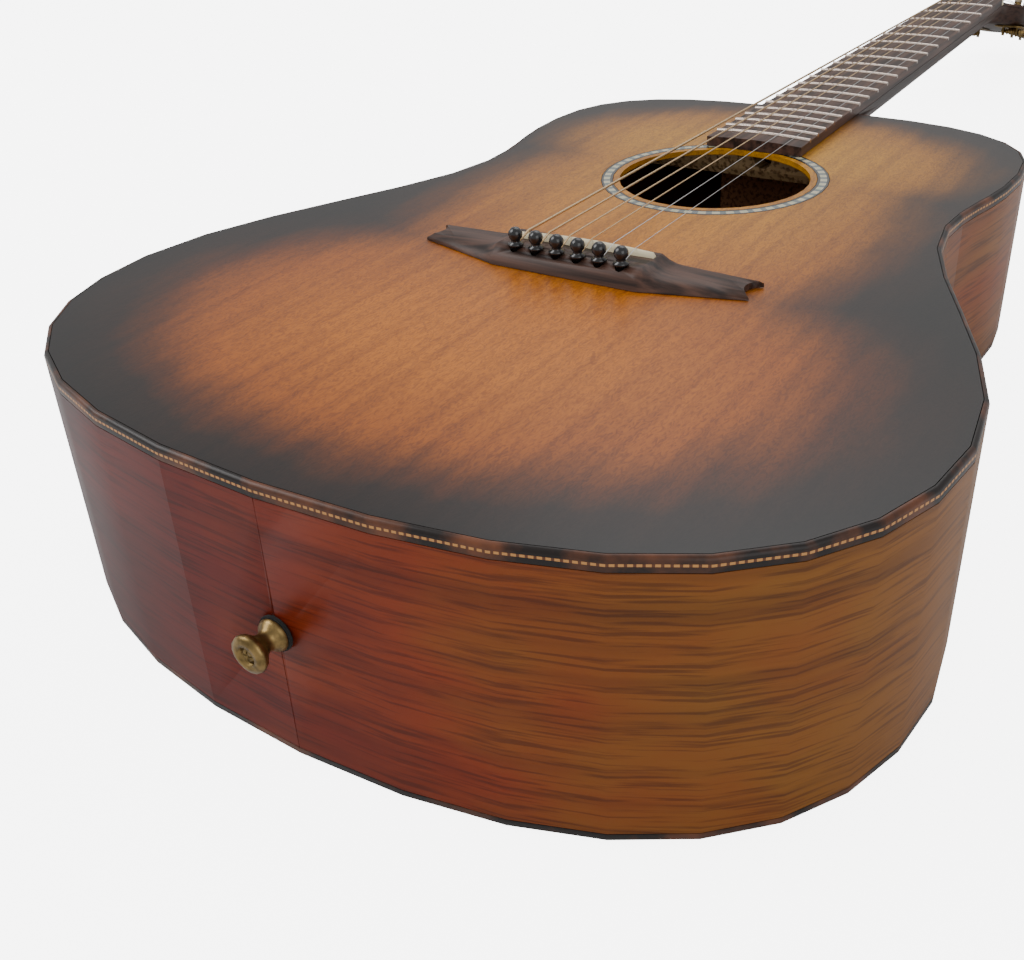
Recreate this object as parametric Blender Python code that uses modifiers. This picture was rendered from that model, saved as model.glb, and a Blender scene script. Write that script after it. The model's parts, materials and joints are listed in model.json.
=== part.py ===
"""Dreadnought acoustic guitar, modelled piece by piece at its real size, in metres.

Every piece is drawn in the guitar's own frame: x towards the treble side, y from the
body joint towards the head, z out of the soundboard, whose face is z = 0. An empty
then lays the whole guitar on its back, with its lowest point at z = 0.
"""

import math

import bmesh
import bpy
from mathutils import Matrix, Vector
from mathutils.geometry import interpolate_bezier

# Clearance between two pieces that touch
GAP = 0.0003

# Body outline
BODY_LENGTH = 0.508
LOWER_BOUT = 0.397
WAIST = 0.264
UPPER_BOUT = 0.285
LOWER_BOUT_FROM_TAIL = 0.134
WAIST_FROM_TAIL = 0.335
UPPER_BOUT_FROM_TAIL = 0.428
NECK_FLAT = 0.032

# Fullness of the outline's curves, as shares of the span that each one covers
TAIL_FULLNESS = 0.685
LOWER_FULLNESS_TO_TAIL = 0.63
LOWER_FULLNESS_TO_WAIST = 0.35
WAIST_FULLNESS_TO_LOWER = 0.28
WAIST_FULLNESS_TO_UPPER = 0.44
UPPER_FULLNESS_TO_WAIST = 0.52
UPPER_FULLNESS_TO_NECK = 0.70
NECK_FULLNESS = 0.63
CURVE_STEPS = (8, 6, 5, 7)

# Body depth, arch and walls
DEPTH_AT_TAIL = 0.122
DEPTH_AT_NECK = 0.098
BACK_RADIUS = 4.5
BACK_FACET = 0.05
TOP_THICKNESS = 0.0028
BACK_THICKNESS = 0.0028
SIDE_THICKNESS = 0.0025
BINDING_WIDTH = 0.0020
BINDING_HEIGHT = 0.0055
BINDING_ROUND = 0.0016
BACK_BINDING_HEIGHT = 0.0035
LINING_WIDTH = 0.0060
LINING_HEIGHT = 0.0140
LINING_LIP = 0.0030
LINING_END_GAP = 0.0040

# Blocks at the two ends of the body
NECK_BLOCK_WIDTH = 0.080
NECK_BLOCK_REACH = 0.050
TAIL_BLOCK_WIDTH = 0.080
TAIL_BLOCK_THICKNESS = 0.020

# Sound hole and rosette
SOUND_HOLE_RADIUS = 0.0508
SOUND_HOLE_Y = -0.150
ROSETTE_INNER = 0.0545
ROSETTE_OUTER = 0.0605
ROSETTE_DEPTH = 0.0010

# Braces under the soundboard
X_CROSSING_Y = -0.232
X_ANGLE = math.radians(49)
X_WIDTH = 0.008
X_HEIGHT = 0.016
X_SCALLOP = 0.009
BRACE_END_HEIGHT = 0.0028
TONE_BAR_ANGLE = math.radians(22)
TONE_BAR_Y = (-0.374, -0.430)
TONE_BAR_WIDTH = 0.0075
TONE_BAR_HEIGHT = 0.013
UPPER_BRACE_Y = -0.077
UPPER_BRACE_WIDTH = 0.012
UPPER_BRACE_HEIGHT = 0.018

# Braces across the back
BACK_BRACE_Y = (-0.085, -0.190, -0.305, -0.415)
BACK_BRACE_WIDTH = 0.008
BACK_BRACE_HEIGHT = 0.015
BACK_BRACE_RAMP = 0.045

# Scale, fretboard and frets
SCALE_LENGTH = 0.648
BODY_FRET = 14
FRET_COUNT = 20
NUT_WIDTH = 0.043
TWELFTH_FRET_WIDTH = 0.053
FRETBOARD_THICKNESS = 0.0062
FRETBOARD_RADIUS = 0.406
FRETBOARD_TAIL = 0.014
FRET_WIDTH = 0.0022
FRET_CROWN = 0.0012
FRET_HEIGHT = 0.0010
NUT_THICKNESS = 0.005
NUT_STAND = 0.0026
STRING_CLEARANCE_AT_NUT = 0.0005

# Neck and heel
NECK_DEPTH_AT_NUT = 0.0155
NECK_DEPTH_AT_HEEL = 0.0200
NECK_ROUNDNESS = 2.1
HEEL_REACH_AT_ROOT = 0.062
HEEL_REACH_AT_CAP = 0.0165
HEEL_HALF_AT_CAP = 0.0150
HEEL_SWEEP = 5.0
HEEL_TAPER = 1.3
HEEL_CAP_THICKNESS = 0.0025
HEEL_CAP_LIFT = 0.0010
TENON_HALF_WIDTH = 0.010
TENON_LENGTH = 0.014
TENON_DEPTH = 0.078

# Headstock
HEAD_ANGLE = math.radians(14)
HEAD_LENGTH = 0.178
HEAD_THICKNESS = 0.014
HEAD_HALF_AT_EARS = 0.0345
HEAD_HALF_AT_TIP = 0.0375
HEAD_FLARE_START = 0.006
HEAD_FLARE_END = 0.034
HEAD_THINNING = 0.019
HEAD_CORNER = 0.009
HEAD_SQUARENESS = 9.0
VENEER_THICKNESS = 0.0020

# Truss rod
ROD_WIDTH = 0.006
ROD_HEIGHT = 0.0112
ROD_DIAMETER = 0.005
ROD_AXIS_DEPTH = 0.0089
ROD_NUT_DIAMETER = 0.008
ROD_NUT_LENGTH = 0.012
ROD_HEX = 0.005
ROD_ACCESS_RADIUS = 0.0055

# Bridge, saddle and pins
STRING_COUNT = 6
PIN_SPACING = 0.0109
NUT_STRING_SPACING = 0.00724
PIN_LINE_Y = -0.3035
SADDLE_Y = -0.2908
SADDLE_SLANT = math.radians(2.9)
SADDLE_LENGTH = 0.0725
SADDLE_THICKNESS = 0.0030
SADDLE_IN_SLOT = 0.0050
SADDLE_STAND = 0.0036
BRIDGE_HEIGHT = 0.0088
BRIDGE_HALF_LENGTH = 0.084
BRIDGE_BLOCK_HALF = 0.0370
BRIDGE_FRONT_Y = -0.2815
BRIDGE_REAR_Y = -0.3095
BRIDGE_WING_HEIGHT = 0.0030
BRIDGE_WING_SHOULDER = 0.0050
BRIDGE_SCOOP = 0.010
BRIDGE_TIP_FRONT_Y = -0.2800
BRIDGE_TIP_REAR_Y = -0.2965
BRIDGE_SWALLOWTAIL = 0.005
BRIDGE_NOTCH_RADIUS = 0.009
BRIDGE_SHOULDER_STEP = 0.003
PIN_HOLE_RADIUS = 0.0028
PIN_RADIUS = 0.0025
PIN_TIP_RADIUS = 0.0021
PIN_SHAFT = 0.0200
PIN_COLLAR_RADIUS = 0.0036
PIN_COLLAR_HEIGHT = 0.0012
PIN_BALL_RADIUS = 0.0034
BRIDGE_PLATE_THICKNESS = 0.0025
BRIDGE_PLATE_FRONT_Y = -0.284
BRIDGE_PLATE_REAR_Y = -0.324

# Strings, from the thickest
STRING_DIAMETERS = (0.00135, 0.00107, 0.00081, 0.00061, 0.000406, 0.000305)
BALL_END_RADIUS = 0.0022
BALL_END_WIDTH = 0.0030
WIND_TURNS = 2.25
WIND_STEPS = 12
WIND_SPACING = 0.00045

# Tuning machines, three on each plate
POST_DISTANCES = (0.040, 0.077, 0.114)
POST_X = 0.0245
POST_RADIUS = 0.003
POST_STAND = 0.0135
POST_CLEARANCE = 0.0004
GEAR_TEETH = 14
GEAR_THICKNESS = 0.003
WORM_PITCH = 0.002
WORM_CORE_RADIUS = 0.0016
WORM_THREAD_RADIUS = 0.0028
WORM_LENGTH = 0.0080
WORM_PITCH_RADIUS = 0.0022
TOOTH_CLEARANCE = 0.00022
KNOB_SHAFT_RADIUS = 0.0015
MACHINE_PLATE_THICKNESS = 0.0012
MACHINE_PLATE_WIDTH = 0.0215
MACHINE_PLATE_MARGIN = 0.0130
MACHINE_PLATE_X = 0.0232
EAR_THICKNESS = 0.0012
EAR_HALF_WIDTH = 0.0036
EAR_OFFSET = 0.0052
EAR_EDGE = 0.0019
BUTTON_START = 0.0170
BUTTON_LENGTH = 0.0165
BUTTON_HALF_WIDTH = 0.0092
BUTTON_HALF_THICKNESS = 0.0039

# Strap button at the tail
BUTTON_HEIGHT_SHARE = 0.51
WASHER_RADIUS = 0.0075
WASHER_THICKNESS = 0.0012
STRAP_BUTTON_LENGTH = 0.0145
STRAP_BUTTON_BASE = 0.0068
STRAP_BUTTON_WAIST = 0.0038
STRAP_BUTTON_HEAD = 0.0080
SCREW_RADIUS = 0.0018
SCREW_HEAD_RADIUS = 0.0037
SCREW_LENGTH = 0.034

# Places that follow from the sizes above
NUT_Y = SCALE_LENGTH * (1 - 2 ** (-BODY_FRET / 12))
HEAD_START_Y = NUT_Y + NUT_THICKNESS
TAPER = math.atan2(DEPTH_AT_TAIL - DEPTH_AT_NECK, BODY_LENGTH)
TOP_UNDERSIDE = TOP_THICKNESS + GAP
BACK_INSIDE = BACK_THICKNESS + GAP
LINING_INSET = SIDE_THICKNESS + GAP
BRACE_INSET = LINING_INSET + LINING_WIDTH + GAP
WORM_DEPTH = HEAD_THICKNESS + GAP + MACHINE_PLATE_THICKNESS + GAP + WORM_THREAD_RADIUS
GEAR_PITCH_RADIUS = GEAR_TEETH * WORM_PITCH / (2 * math.pi)
WORM_DISTANCE = GEAR_PITCH_RADIUS + WORM_PITCH_RADIUS

FINISHES = {
    "top": ((0.72, 0.36, 0.05), 0.35, 0.0),
    "side": ((0.34, 0.10, 0.05), 0.4, 0.0),
    "spruce": ((0.72, 0.56, 0.36), 0.8, 0.0),
    "mahogany": ((0.42, 0.2, 0.1), 0.75, 0.0),
    "binding": ((0.02, 0.018, 0.016), 0.3, 0.0),
    "rosette": ((0.45, 0.42, 0.33), 0.35, 0.0),
    "rosewood": ((0.09, 0.045, 0.03), 0.5, 0.0),
    "bone": ((0.82, 0.74, 0.5), 0.45, 0.0),
    "pin": ((0.015, 0.015, 0.017), 0.25, 0.0),
    "bronze": ((0.78, 0.55, 0.3), 0.35, 0.9),
    "plain_steel": ((0.6, 0.6, 0.6), 0.3, 1.0),
    "neck": ((0.05, 0.025, 0.018), 0.4, 0.0),
    "antique_brass": ((0.55, 0.4, 0.18), 0.35, 0.9),
    "steel": ((0.35, 0.35, 0.36), 0.4, 0.9),
    "felt": ((0.03, 0.03, 0.03), 0.95, 0.0),
}


def start_clean():
    """Empty the file and make the collections, the finishes and the two frames."""
    for item in list(bpy.data.objects):
        bpy.data.objects.remove(item, do_unlink=True)
    for title in ("dreadnought_guitar", "cutters"):
        group = bpy.data.collections.new(title)
        bpy.context.scene.collection.children.link(group)
    for name, (colour, roughness, metallic) in FINISHES.items():
        material = bpy.data.materials.new(name)
        material.use_nodes = True
        shader = material.node_tree.nodes["Principled BSDF"]
        shader.inputs["Base Color"].default_value = (*colour, 1.0)
        shader.inputs["Roughness"].default_value = roughness
        shader.inputs["Metallic"].default_value = metallic


def frame(name, parent=None, location=(0, 0, 0), turn_x=0.0):
    """An empty that carries pieces drawn in its own axes."""
    empty = bpy.data.objects.new(name, None)
    bpy.context.scene.collection.objects.link(empty)
    empty.parent = parent
    empty.location = location
    empty.rotation_euler = (turn_x, 0, 0)
    return empty


def add_piece(name, mesh, finish, parent, location=(0, 0, 0)):
    """Name a mesh as a piece of the guitar and give it its finish and its place."""
    piece = bpy.data.objects.new(name, mesh)
    bpy.data.collections["dreadnought_guitar"].objects.link(piece)
    if not mesh.materials:
        mesh.materials.append(bpy.data.materials[finish])
    piece.parent = parent
    piece.location = location
    return piece


def add_tool(piece, mesh, operation):
    """Cut a mesh out of a piece, or join it on, with a live Boolean."""
    tool = bpy.data.objects.new(f"{piece.name}_{operation.lower()}", mesh)
    bpy.data.collections["cutters"].objects.link(tool)
    tool.parent = piece.parent
    tool.location = piece.location
    tool.hide_render = True
    tool.display_type = "WIRE"
    step = piece.modifiers.new(operation.title(), "BOOLEAN")
    step.operation = operation
    step.solver = "EXACT"
    step.object = tool


def cut(piece, mesh):
    add_tool(piece, mesh, "DIFFERENCE")


def join(piece, mesh):
    add_tool(piece, mesh, "UNION")


def bake(piece):
    """Turn a piece with its modifiers into a plain mesh, and remove the piece and its tools."""
    bpy.context.view_layer.update()
    graph = bpy.context.evaluated_depsgraph_get()
    mesh = bpy.data.meshes.new_from_object(piece.evaluated_get(graph))
    tools = [step.object for step in piece.modifiers if step.type == "BOOLEAN"]
    for item in [piece, *tools]:
        bpy.data.objects.remove(item, do_unlink=True)
    return mesh


def mesh_from(bm, name="shape", smooth_angle=math.radians(35)):
    """Finish a bmesh: normals out, round parts shaded smooth."""
    bmesh.ops.recalc_face_normals(bm, faces=bm.faces)
    mesh = bpy.data.meshes.new(name)
    bm.to_mesh(mesh)
    bm.free()
    mesh.shade_smooth()
    mesh.set_sharp_from_angle(angle=smooth_angle)
    return mesh


def combined(meshes):
    """Several meshes in one, for a cutter or a piece that is joined on."""
    bm = bmesh.new()
    for mesh in meshes:
        bm.from_mesh(mesh)
    return mesh_from(bm)


def mirrored(mesh):
    """A copy of a mesh for the bass side."""
    bm = bmesh.new()
    bm.from_mesh(mesh)
    bm.transform(Matrix.Scale(-1, 4, (1, 0, 0)))
    bmesh.ops.reverse_faces(bm, faces=bm.faces)
    copy = mesh_from(bm)
    for material in mesh.materials:
        copy.materials.append(material)
    return copy


def loft(rings, closed=False):
    """Skin a row of rings that have equal numbers of points."""
    bm = bmesh.new()
    rows = [[bm.verts.new(point) for point in ring] for ring in rings]
    pairs = list(zip(rows, rows[1:]))
    if closed:
        pairs.append((rows[-1], rows[0]))
    for near, far in pairs:
        for i, vert in enumerate(near):
            j = (i + 1) % len(near)
            bm.faces.new((vert, near[j], far[j], far[i]))
    if not closed:
        bm.faces.new(rows[0])
        bm.faces.new(rows[-1])
    return mesh_from(bm)


def box(low, high):
    """A box between two opposite corners."""
    low, high = Vector(low), Vector(high)
    bm = bmesh.new()
    bmesh.ops.create_cube(bm, size=1.0, matrix=Matrix.LocRotScale((low + high) / 2, None, high - low))
    return mesh_from(bm)


def rod(start, end, radius, segments=16):
    """A cylinder between two points."""
    start, end = Vector(start), Vector(end)
    turn = (end - start).to_track_quat("Z", "Y")
    bm = bmesh.new()
    bmesh.ops.create_cone(
        bm,
        cap_ends=True,
        segments=segments,
        radius1=radius,
        radius2=radius,
        depth=(end - start).length,
        matrix=Matrix.LocRotScale((start + end) / 2, turn, None),
    )
    return mesh_from(bm)


def plate(outline, low, high):
    """A flat outline in the xy plane, filled and given its thickness."""
    curve = bpy.data.curves.new("plate", "CURVE")
    curve.dimensions = "2D"
    curve.fill_mode = "BOTH"
    curve.extrude = (high - low) / 2
    spline = curve.splines.new("POLY")
    spline.points.add(len(outline) - 1)
    for knot, (x, y) in zip(spline.points, outline):
        knot.co = (x, y, 0, 1)
    spline.use_cyclic_u = True
    return mesh_of_curve(curve, Matrix.Translation((0, 0, (low + high) / 2)))


def mesh_of_curve(curve, place=None):
    """Turn a filled or bevelled curve into a closed mesh, with its caps welded on."""
    holder = bpy.data.objects.new("curve", curve)
    bpy.context.scene.collection.objects.link(holder)
    graph = bpy.context.evaluated_depsgraph_get()
    raw = bpy.data.meshes.new_from_object(holder.evaluated_get(graph))
    bpy.data.objects.remove(holder, do_unlink=True)
    bm = bmesh.new()
    bm.from_mesh(raw)
    bmesh.ops.remove_doubles(bm, verts=bm.verts, dist=1e-6)
    if place:
        bm.transform(place)
        bmesh.ops.dissolve_limit(bm, angle_limit=0.001, verts=bm.verts, edges=bm.edges)
    return mesh_from(bm)


def tube(points, radius, sides_step=1):
    """A round wire along a row of points."""
    curve = bpy.data.curves.new("tube", "CURVE")
    curve.dimensions = "3D"
    curve.bevel_depth = radius
    curve.bevel_resolution = sides_step
    curve.use_fill_caps = True
    spline = curve.splines.new("POLY")
    spline.points.add(len(points) - 1)
    for knot, point in zip(spline.points, points):
        knot.co = (*point, 1)
    return mesh_of_curve(curve)


def turned(name, profile, finish, parent, location=(0, 0, 0), steps=16, turn=(0, 0, 0)):
    """A turned piece: its profile, from the top of its axis down to the foot, spun round z."""
    bm = bmesh.new()
    verts = [bm.verts.new((radius, 0, height)) for radius, height in profile]
    for one, other in zip(verts, verts[1:]):
        bm.edges.new((one, other))
    mesh = bpy.data.meshes.new(name)
    bm.to_mesh(mesh)
    bm.free()
    piece = add_piece(name, mesh, finish, parent, location)
    piece.rotation_euler = turn
    spin = piece.modifiers.new("Spin", "SCREW")
    spin.steps = steps
    spin.render_steps = steps
    spin.use_merge_vertices = True
    spin.merge_threshold = 0.00001
    spin.use_smooth_shade = True
    return piece


def crown(x):
    """Rise of the back's arch at x, in flat facets, so that the guitar lies on the middle one."""
    steps = max(abs(x) / BACK_FACET - 0.5, 0.0)
    first = math.floor(steps)

    def rise(edge):
        return BACK_FACET**2 * ((edge + 0.5) ** 2 - 0.25) / (2 * BACK_RADIUS)

    return rise(first) + (steps - first) * (rise(first + 1) - rise(first))


def back_face(x, y):
    """Height of the back's outer face under a point of the soundboard."""
    return -DEPTH_AT_NECK + y * math.tan(TAPER) + crown(x)


def half_outline():
    """The treble half of the body's outline, from the middle of the tail to the neck."""
    tail = Vector((0, -BODY_LENGTH))
    lower = Vector((LOWER_BOUT / 2, LOWER_BOUT_FROM_TAIL - BODY_LENGTH))
    waist = Vector((WAIST / 2, WAIST_FROM_TAIL - BODY_LENGTH))
    upper = Vector((UPPER_BOUT / 2, UPPER_BOUT_FROM_TAIL - BODY_LENGTH))
    neck = Vector((NECK_FLAT, 0))
    up, out = Vector((0, 1)), Vector((1, 0))
    handles = (
        (tail, out * lower.x * TAIL_FULLNESS, -up * (lower.y - tail.y) * LOWER_FULLNESS_TO_TAIL, lower),
        (
            lower,
            up * (waist.y - lower.y) * LOWER_FULLNESS_TO_WAIST,
            -up * (waist.y - lower.y) * WAIST_FULLNESS_TO_LOWER,
            waist,
        ),
        (
            waist,
            up * (upper.y - waist.y) * WAIST_FULLNESS_TO_UPPER,
            -up * (upper.y - waist.y) * UPPER_FULLNESS_TO_WAIST,
            upper,
        ),
        (upper, -up * upper.y * UPPER_FULLNESS_TO_NECK, out * (upper.x - neck.x) * NECK_FULLNESS, neck),
    )
    points = [tail]
    for (start, leaving, arriving, end), steps in zip(handles, CURVE_STEPS):
        points += interpolate_bezier(start, start + leaving, end + arriving, end, steps + 1)[1:]
    return [Vector((p[0], p[1])) for p in points] + [Vector((0, 0))]


def whole_rim():
    """The outline, anticlockwise from the tail, as points with their inward mitres."""
    half = half_outline()
    loop = half + [Vector((-p.x, p.y)) for p in reversed(half[1:-1])]
    stations = []
    for i, here in enumerate(loop):
        first = (here - loop[i - 1]).normalized()
        second = (loop[(i + 1) % len(loop)] - here).normalized()
        first_in, second_in = Vector((-first.y, first.x)), Vector((-second.y, second.x))
        stations.append((here, (first_in + second_in) / (1 + first_in.dot(second_in))))
    return stations


RIM = whole_rim()
HALF_RIM = RIM[: len(half_outline())]


def crossing(one, other, share):
    """A station between two others."""
    return one[0].lerp(other[0], share), one[1].lerp(other[1], share)


def side_stations(tail_x, neck_x):
    """Stations round the treble side, from x near the tail to x near the neck."""
    first = next(i for i, (point, _) in enumerate(HALF_RIM) if point.x > tail_x)
    last = max(i for i, (point, _) in enumerate(HALF_RIM) if point.x > neck_x)
    before, after = HALF_RIM[first - 1], HALF_RIM[first]
    start = crossing(before, after, (tail_x - before[0].x) / (after[0].x - before[0].x))
    before, after = HALF_RIM[last], HALF_RIM[last + 1]
    end = crossing(before, after, (neck_x - before[0].x) / (after[0].x - before[0].x))
    return [start, *HALF_RIM[first : last + 1], end]


def across(stations):
    """The same stations on the bass side."""
    return [(Vector((-p.x, p.y)), Vector((-m.x, m.y))) for p, m in stations]


def from_top(depth):
    return lambda x, y: -depth


def from_back(height):
    return lambda x, y: back_face(x, y) + height


def sweep(stations, profile, closed=False):
    """Carry a profile round the rim. It is a row of insets, each with its height."""
    rings = []
    for point, mitre in stations:
        ring = []
        for inset, height in profile:
            x, y = point + mitre * inset
            ring.append((x, y, height(x, y)))
        rings.append(ring)
    return loft(rings, closed)


def inset_half(inset):
    """The treble half of the outline, moved inwards."""
    return [point + mitre * inset for point, mitre in HALF_RIM]


def half_width(y, inset):
    """Half the width of the outline at y, less an inset."""
    line = inset_half(inset)
    for one, other in zip(line, line[1:]):
        if one.y <= y <= other.y and other.y > one.y:
            return one.x + (other.x - one.x) * (y - one.y) / (other.y - one.y)
    return 0.0


def edge_y(x, inset, at_tail):
    """Where the inset outline crosses x, near the tail or near the neck."""
    line = inset_half(inset)
    if not at_tail:
        line = line[::-1]
    for one, other in zip(line, line[1:]):
        if one.x <= abs(x) <= other.x:
            return one.y + (other.y - one.y) * (abs(x) - one.x) / (other.x - one.x)
    return line[0].y


def reach(start, direction, inset):
    """How far a ray runs from a point inside the body to the inset outline."""
    line = inset_half(inset)
    line = line + [Vector((-p.x, p.y)) for p in reversed(line[1:-1])]
    best = BODY_LENGTH
    for one, other in zip(line, line[1:] + line[:1]):
        edge = other - one
        turn = direction.x * edge.y - direction.y * edge.x
        if abs(turn) < 1e-12:
            continue
        gap = one - start
        along = (gap.x * edge.y - gap.y * edge.x) / turn
        share = (gap.x * direction.y - gap.y * direction.x) / turn
        if along > 0 and 0 <= share <= 1:
            best = min(best, along)
    return best


def inset_loop(inset):
    """The whole outline, moved inwards, as a closed row of points."""
    return [tuple(point + mitre * inset) for point, mitre in RIM]


def add_top_plate(guitar):
    """The soundboard, with its hole, the rosette's channel and the pin holes."""
    outline = inset_loop(BINDING_WIDTH + GAP)
    piece = add_piece("top_plate", plate(outline, -TOP_THICKNESS, 0), "top", guitar)
    hole_low, hole_high = (0, SOUND_HOLE_Y, -TOP_THICKNESS * 2), (0, SOUND_HOLE_Y, TOP_THICKNESS)
    cut(piece, rod(hole_low, hole_high, SOUND_HOLE_RADIUS, 36))
    cut(piece, ring(ROSETTE_INNER - GAP, ROSETTE_OUTER + GAP, -ROSETTE_DEPTH - GAP, TOP_THICKNESS))
    cut(piece, pin_holes())


def ring(inner, outer, low, high, segments=36):
    """A flat ring round the sound hole's centre."""
    rings = []
    for i in range(segments):
        angle = 2 * math.pi * i / segments
        out = Vector((math.cos(angle), math.sin(angle)))
        corners = ((inner, low), (outer, low), (outer, high), (inner, high))
        rings.append([(out.x * r, SOUND_HOLE_Y + out.y * r, z) for r, z in corners])
    return loft(rings, closed=True)


def add_rosette(guitar):
    """The inlaid ring round the sound hole."""
    add_piece("rosette", ring(ROSETTE_INNER, ROSETTE_OUTER, -ROSETTE_DEPTH, 0), "rosette", guitar)


def add_back_plate(guitar):
    """The back, arched across and tapering in depth towards the neck."""
    bm = bmesh.new()
    bm.from_mesh(plate(inset_loop(BINDING_WIDTH + GAP), 0, BACK_THICKNESS))
    facets = math.ceil(LOWER_BOUT / 2 / BACK_FACET)
    for edge in range(-facets, facets):
        everything = bm.verts[:] + bm.edges[:] + bm.faces[:]
        place = ((edge + 0.5) * BACK_FACET, 0, 0)
        bmesh.ops.bisect_plane(bm, geom=everything, dist=1e-7, plane_co=place, plane_no=(1, 0, 0))
    for vert in bm.verts:
        vert.co.z += back_face(vert.co.x, vert.co.y)
    add_piece("back_plate", mesh_from(bm, smooth_angle=math.radians(20)), "side", guitar)


def add_sides(guitar):
    """The two bent ribs, which meet at the tail seam and stop at the neck's tenon."""
    profile = (
        (0, from_top(BINDING_HEIGHT + GAP)),
        (0, from_back(BACK_BINDING_HEIGHT + GAP)),
        (SIDE_THICKNESS, from_back(BACK_BINDING_HEIGHT + GAP)),
        (SIDE_THICKNESS, from_top(BINDING_HEIGHT + GAP)),
    )
    treble = side_stations(GAP / 2, TENON_HALF_WIDTH + GAP)
    for name, stations in (("side_treble", treble), ("side_bass", across(treble))):
        piece = add_piece(name, sweep(stations, profile), "side", guitar)
        cut(piece, screw_hole(GAP))


def add_bindings(guitar):
    """The rounded strip round the soundboard's edge and the thin one round the back's."""
    rounded = BINDING_ROUND
    top_profile = (
        (0, from_top(BINDING_HEIGHT)),
        (0, from_top(rounded)),
        (rounded * 0.3, from_top(rounded * 0.3)),
        (rounded, from_top(0)),
        (BINDING_WIDTH, from_top(0)),
        (BINDING_WIDTH, from_top(BINDING_HEIGHT)),
    )
    back_profile = (
        (0, from_back(BACK_BINDING_HEIGHT)),
        (0, from_back(rounded * 0.5)),
        (rounded * 0.5, from_back(0)),
        (BINDING_WIDTH, from_back(0)),
        (BINDING_WIDTH, from_back(BACK_BINDING_HEIGHT)),
    )
    add_piece("top_binding", sweep(RIM, top_profile, closed=True), "binding", guitar)
    add_piece("back_binding", sweep(RIM, back_profile, closed=True), "binding", guitar)


def add_linings(guitar):
    """The kerfed strips that widen the glue joints inside the rim."""
    outer, inner = LINING_INSET, LINING_INSET + LINING_WIDTH
    top_profile = (
        (outer, from_top(TOP_UNDERSIDE)),
        (inner, from_top(TOP_UNDERSIDE)),
        (inner, from_top(TOP_UNDERSIDE + LINING_LIP)),
        (outer, from_top(TOP_UNDERSIDE + LINING_HEIGHT)),
    )
    back_profile = (
        (outer, from_back(BACK_INSIDE)),
        (inner, from_back(BACK_INSIDE)),
        (inner, from_back(BACK_INSIDE + LINING_LIP)),
        (outer, from_back(BACK_INSIDE + LINING_HEIGHT)),
    )
    treble = side_stations(TAIL_BLOCK_WIDTH / 2 + LINING_END_GAP, NECK_BLOCK_WIDTH / 2 + LINING_END_GAP)
    for side, stations in (("treble", treble), ("bass", across(treble))):
        add_piece(f"top_lining_{side}", sweep(stations, top_profile), "spruce", guitar)
        add_piece(f"back_lining_{side}", sweep(stations, back_profile), "spruce", guitar)


def end_block(at_tail, width, inner_y):
    """A block that fills the end of the body from the soundboard to the back."""
    rings = []
    for share in (-1.0, -0.75, -0.4, 0.0, 0.4, 0.75, 1.0):
        x = share * width / 2
        outer_y = edge_y(x, SIDE_THICKNESS + GAP, at_tail)
        foot_outer = back_face(x, outer_y) + BACK_INSIDE
        foot_inner = back_face(x, inner_y) + BACK_INSIDE
        corners = ((outer_y, -TOP_UNDERSIDE), (inner_y, -TOP_UNDERSIDE), (inner_y, foot_inner), (outer_y, foot_outer))
        rings.append([(x, y, z) for y, z in corners])
    return loft(rings)


def add_blocks(guitar):
    """The neck block, with its mortise and the truss rod's way through, and the tail block."""
    block = add_piece("neck_block", end_block(False, NECK_BLOCK_WIDTH, -NECK_BLOCK_REACH), "mahogany", guitar)
    cut(block, tenon(GAP))
    rod_end = (0, -NECK_BLOCK_REACH * 1.2, -ROD_AXIS_DEPTH)
    cut(block, rod((0, 0, -ROD_AXIS_DEPTH), rod_end, ROD_DIAMETER / 2 + GAP))
    inner_y = TAIL_BLOCK_THICKNESS + SIDE_THICKNESS - BODY_LENGTH
    tail = add_piece("tail_block", end_block(True, TAIL_BLOCK_WIDTH, inner_y), "mahogany", guitar)
    cut(tail, screw_hole(GAP))


def tenon(clearance):
    """The tongue of the neck that the neck block holds."""
    half, end = TENON_HALF_WIDTH + clearance, TENON_LENGTH + clearance
    top = BINDING_HEIGHT + GAP if clearance == 0 else 0
    return box((-half, -end, -TENON_DEPTH - clearance), (half, GAP * 2, -top))


def brace(start, end, width, heights, foot):
    """A bar glued on by its flat foot. heights give its depth at shares of its length, and
    foot gives the glued face's height and the way that the bar stands off it."""
    start, end = Vector(start), Vector(end)
    along = (end - start).normalized()
    side = Vector((-along.y, along.x))
    face, away = foot
    rings = []
    for offset, fullness in ((-0.5, 0.7), (-0.22, 1.0), (0.22, 1.0), (0.5, 0.7)):
        ring_points = []
        free_edge = []
        for share, height in heights:
            spot = start.lerp(end, share) + side * (offset * width)
            ring_points.append((spot.x, spot.y, face(spot.x, spot.y)))
            free_edge.append((spot.x, spot.y, face(spot.x, spot.y) + away * height * fullness))
        rings.append(ring_points + free_edge[::-1])
    return loft(rings)


UNDER_TOP = (from_top(TOP_UNDERSIDE), -1)
ON_BACK = (from_back(BACK_INSIDE), 1)


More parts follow.
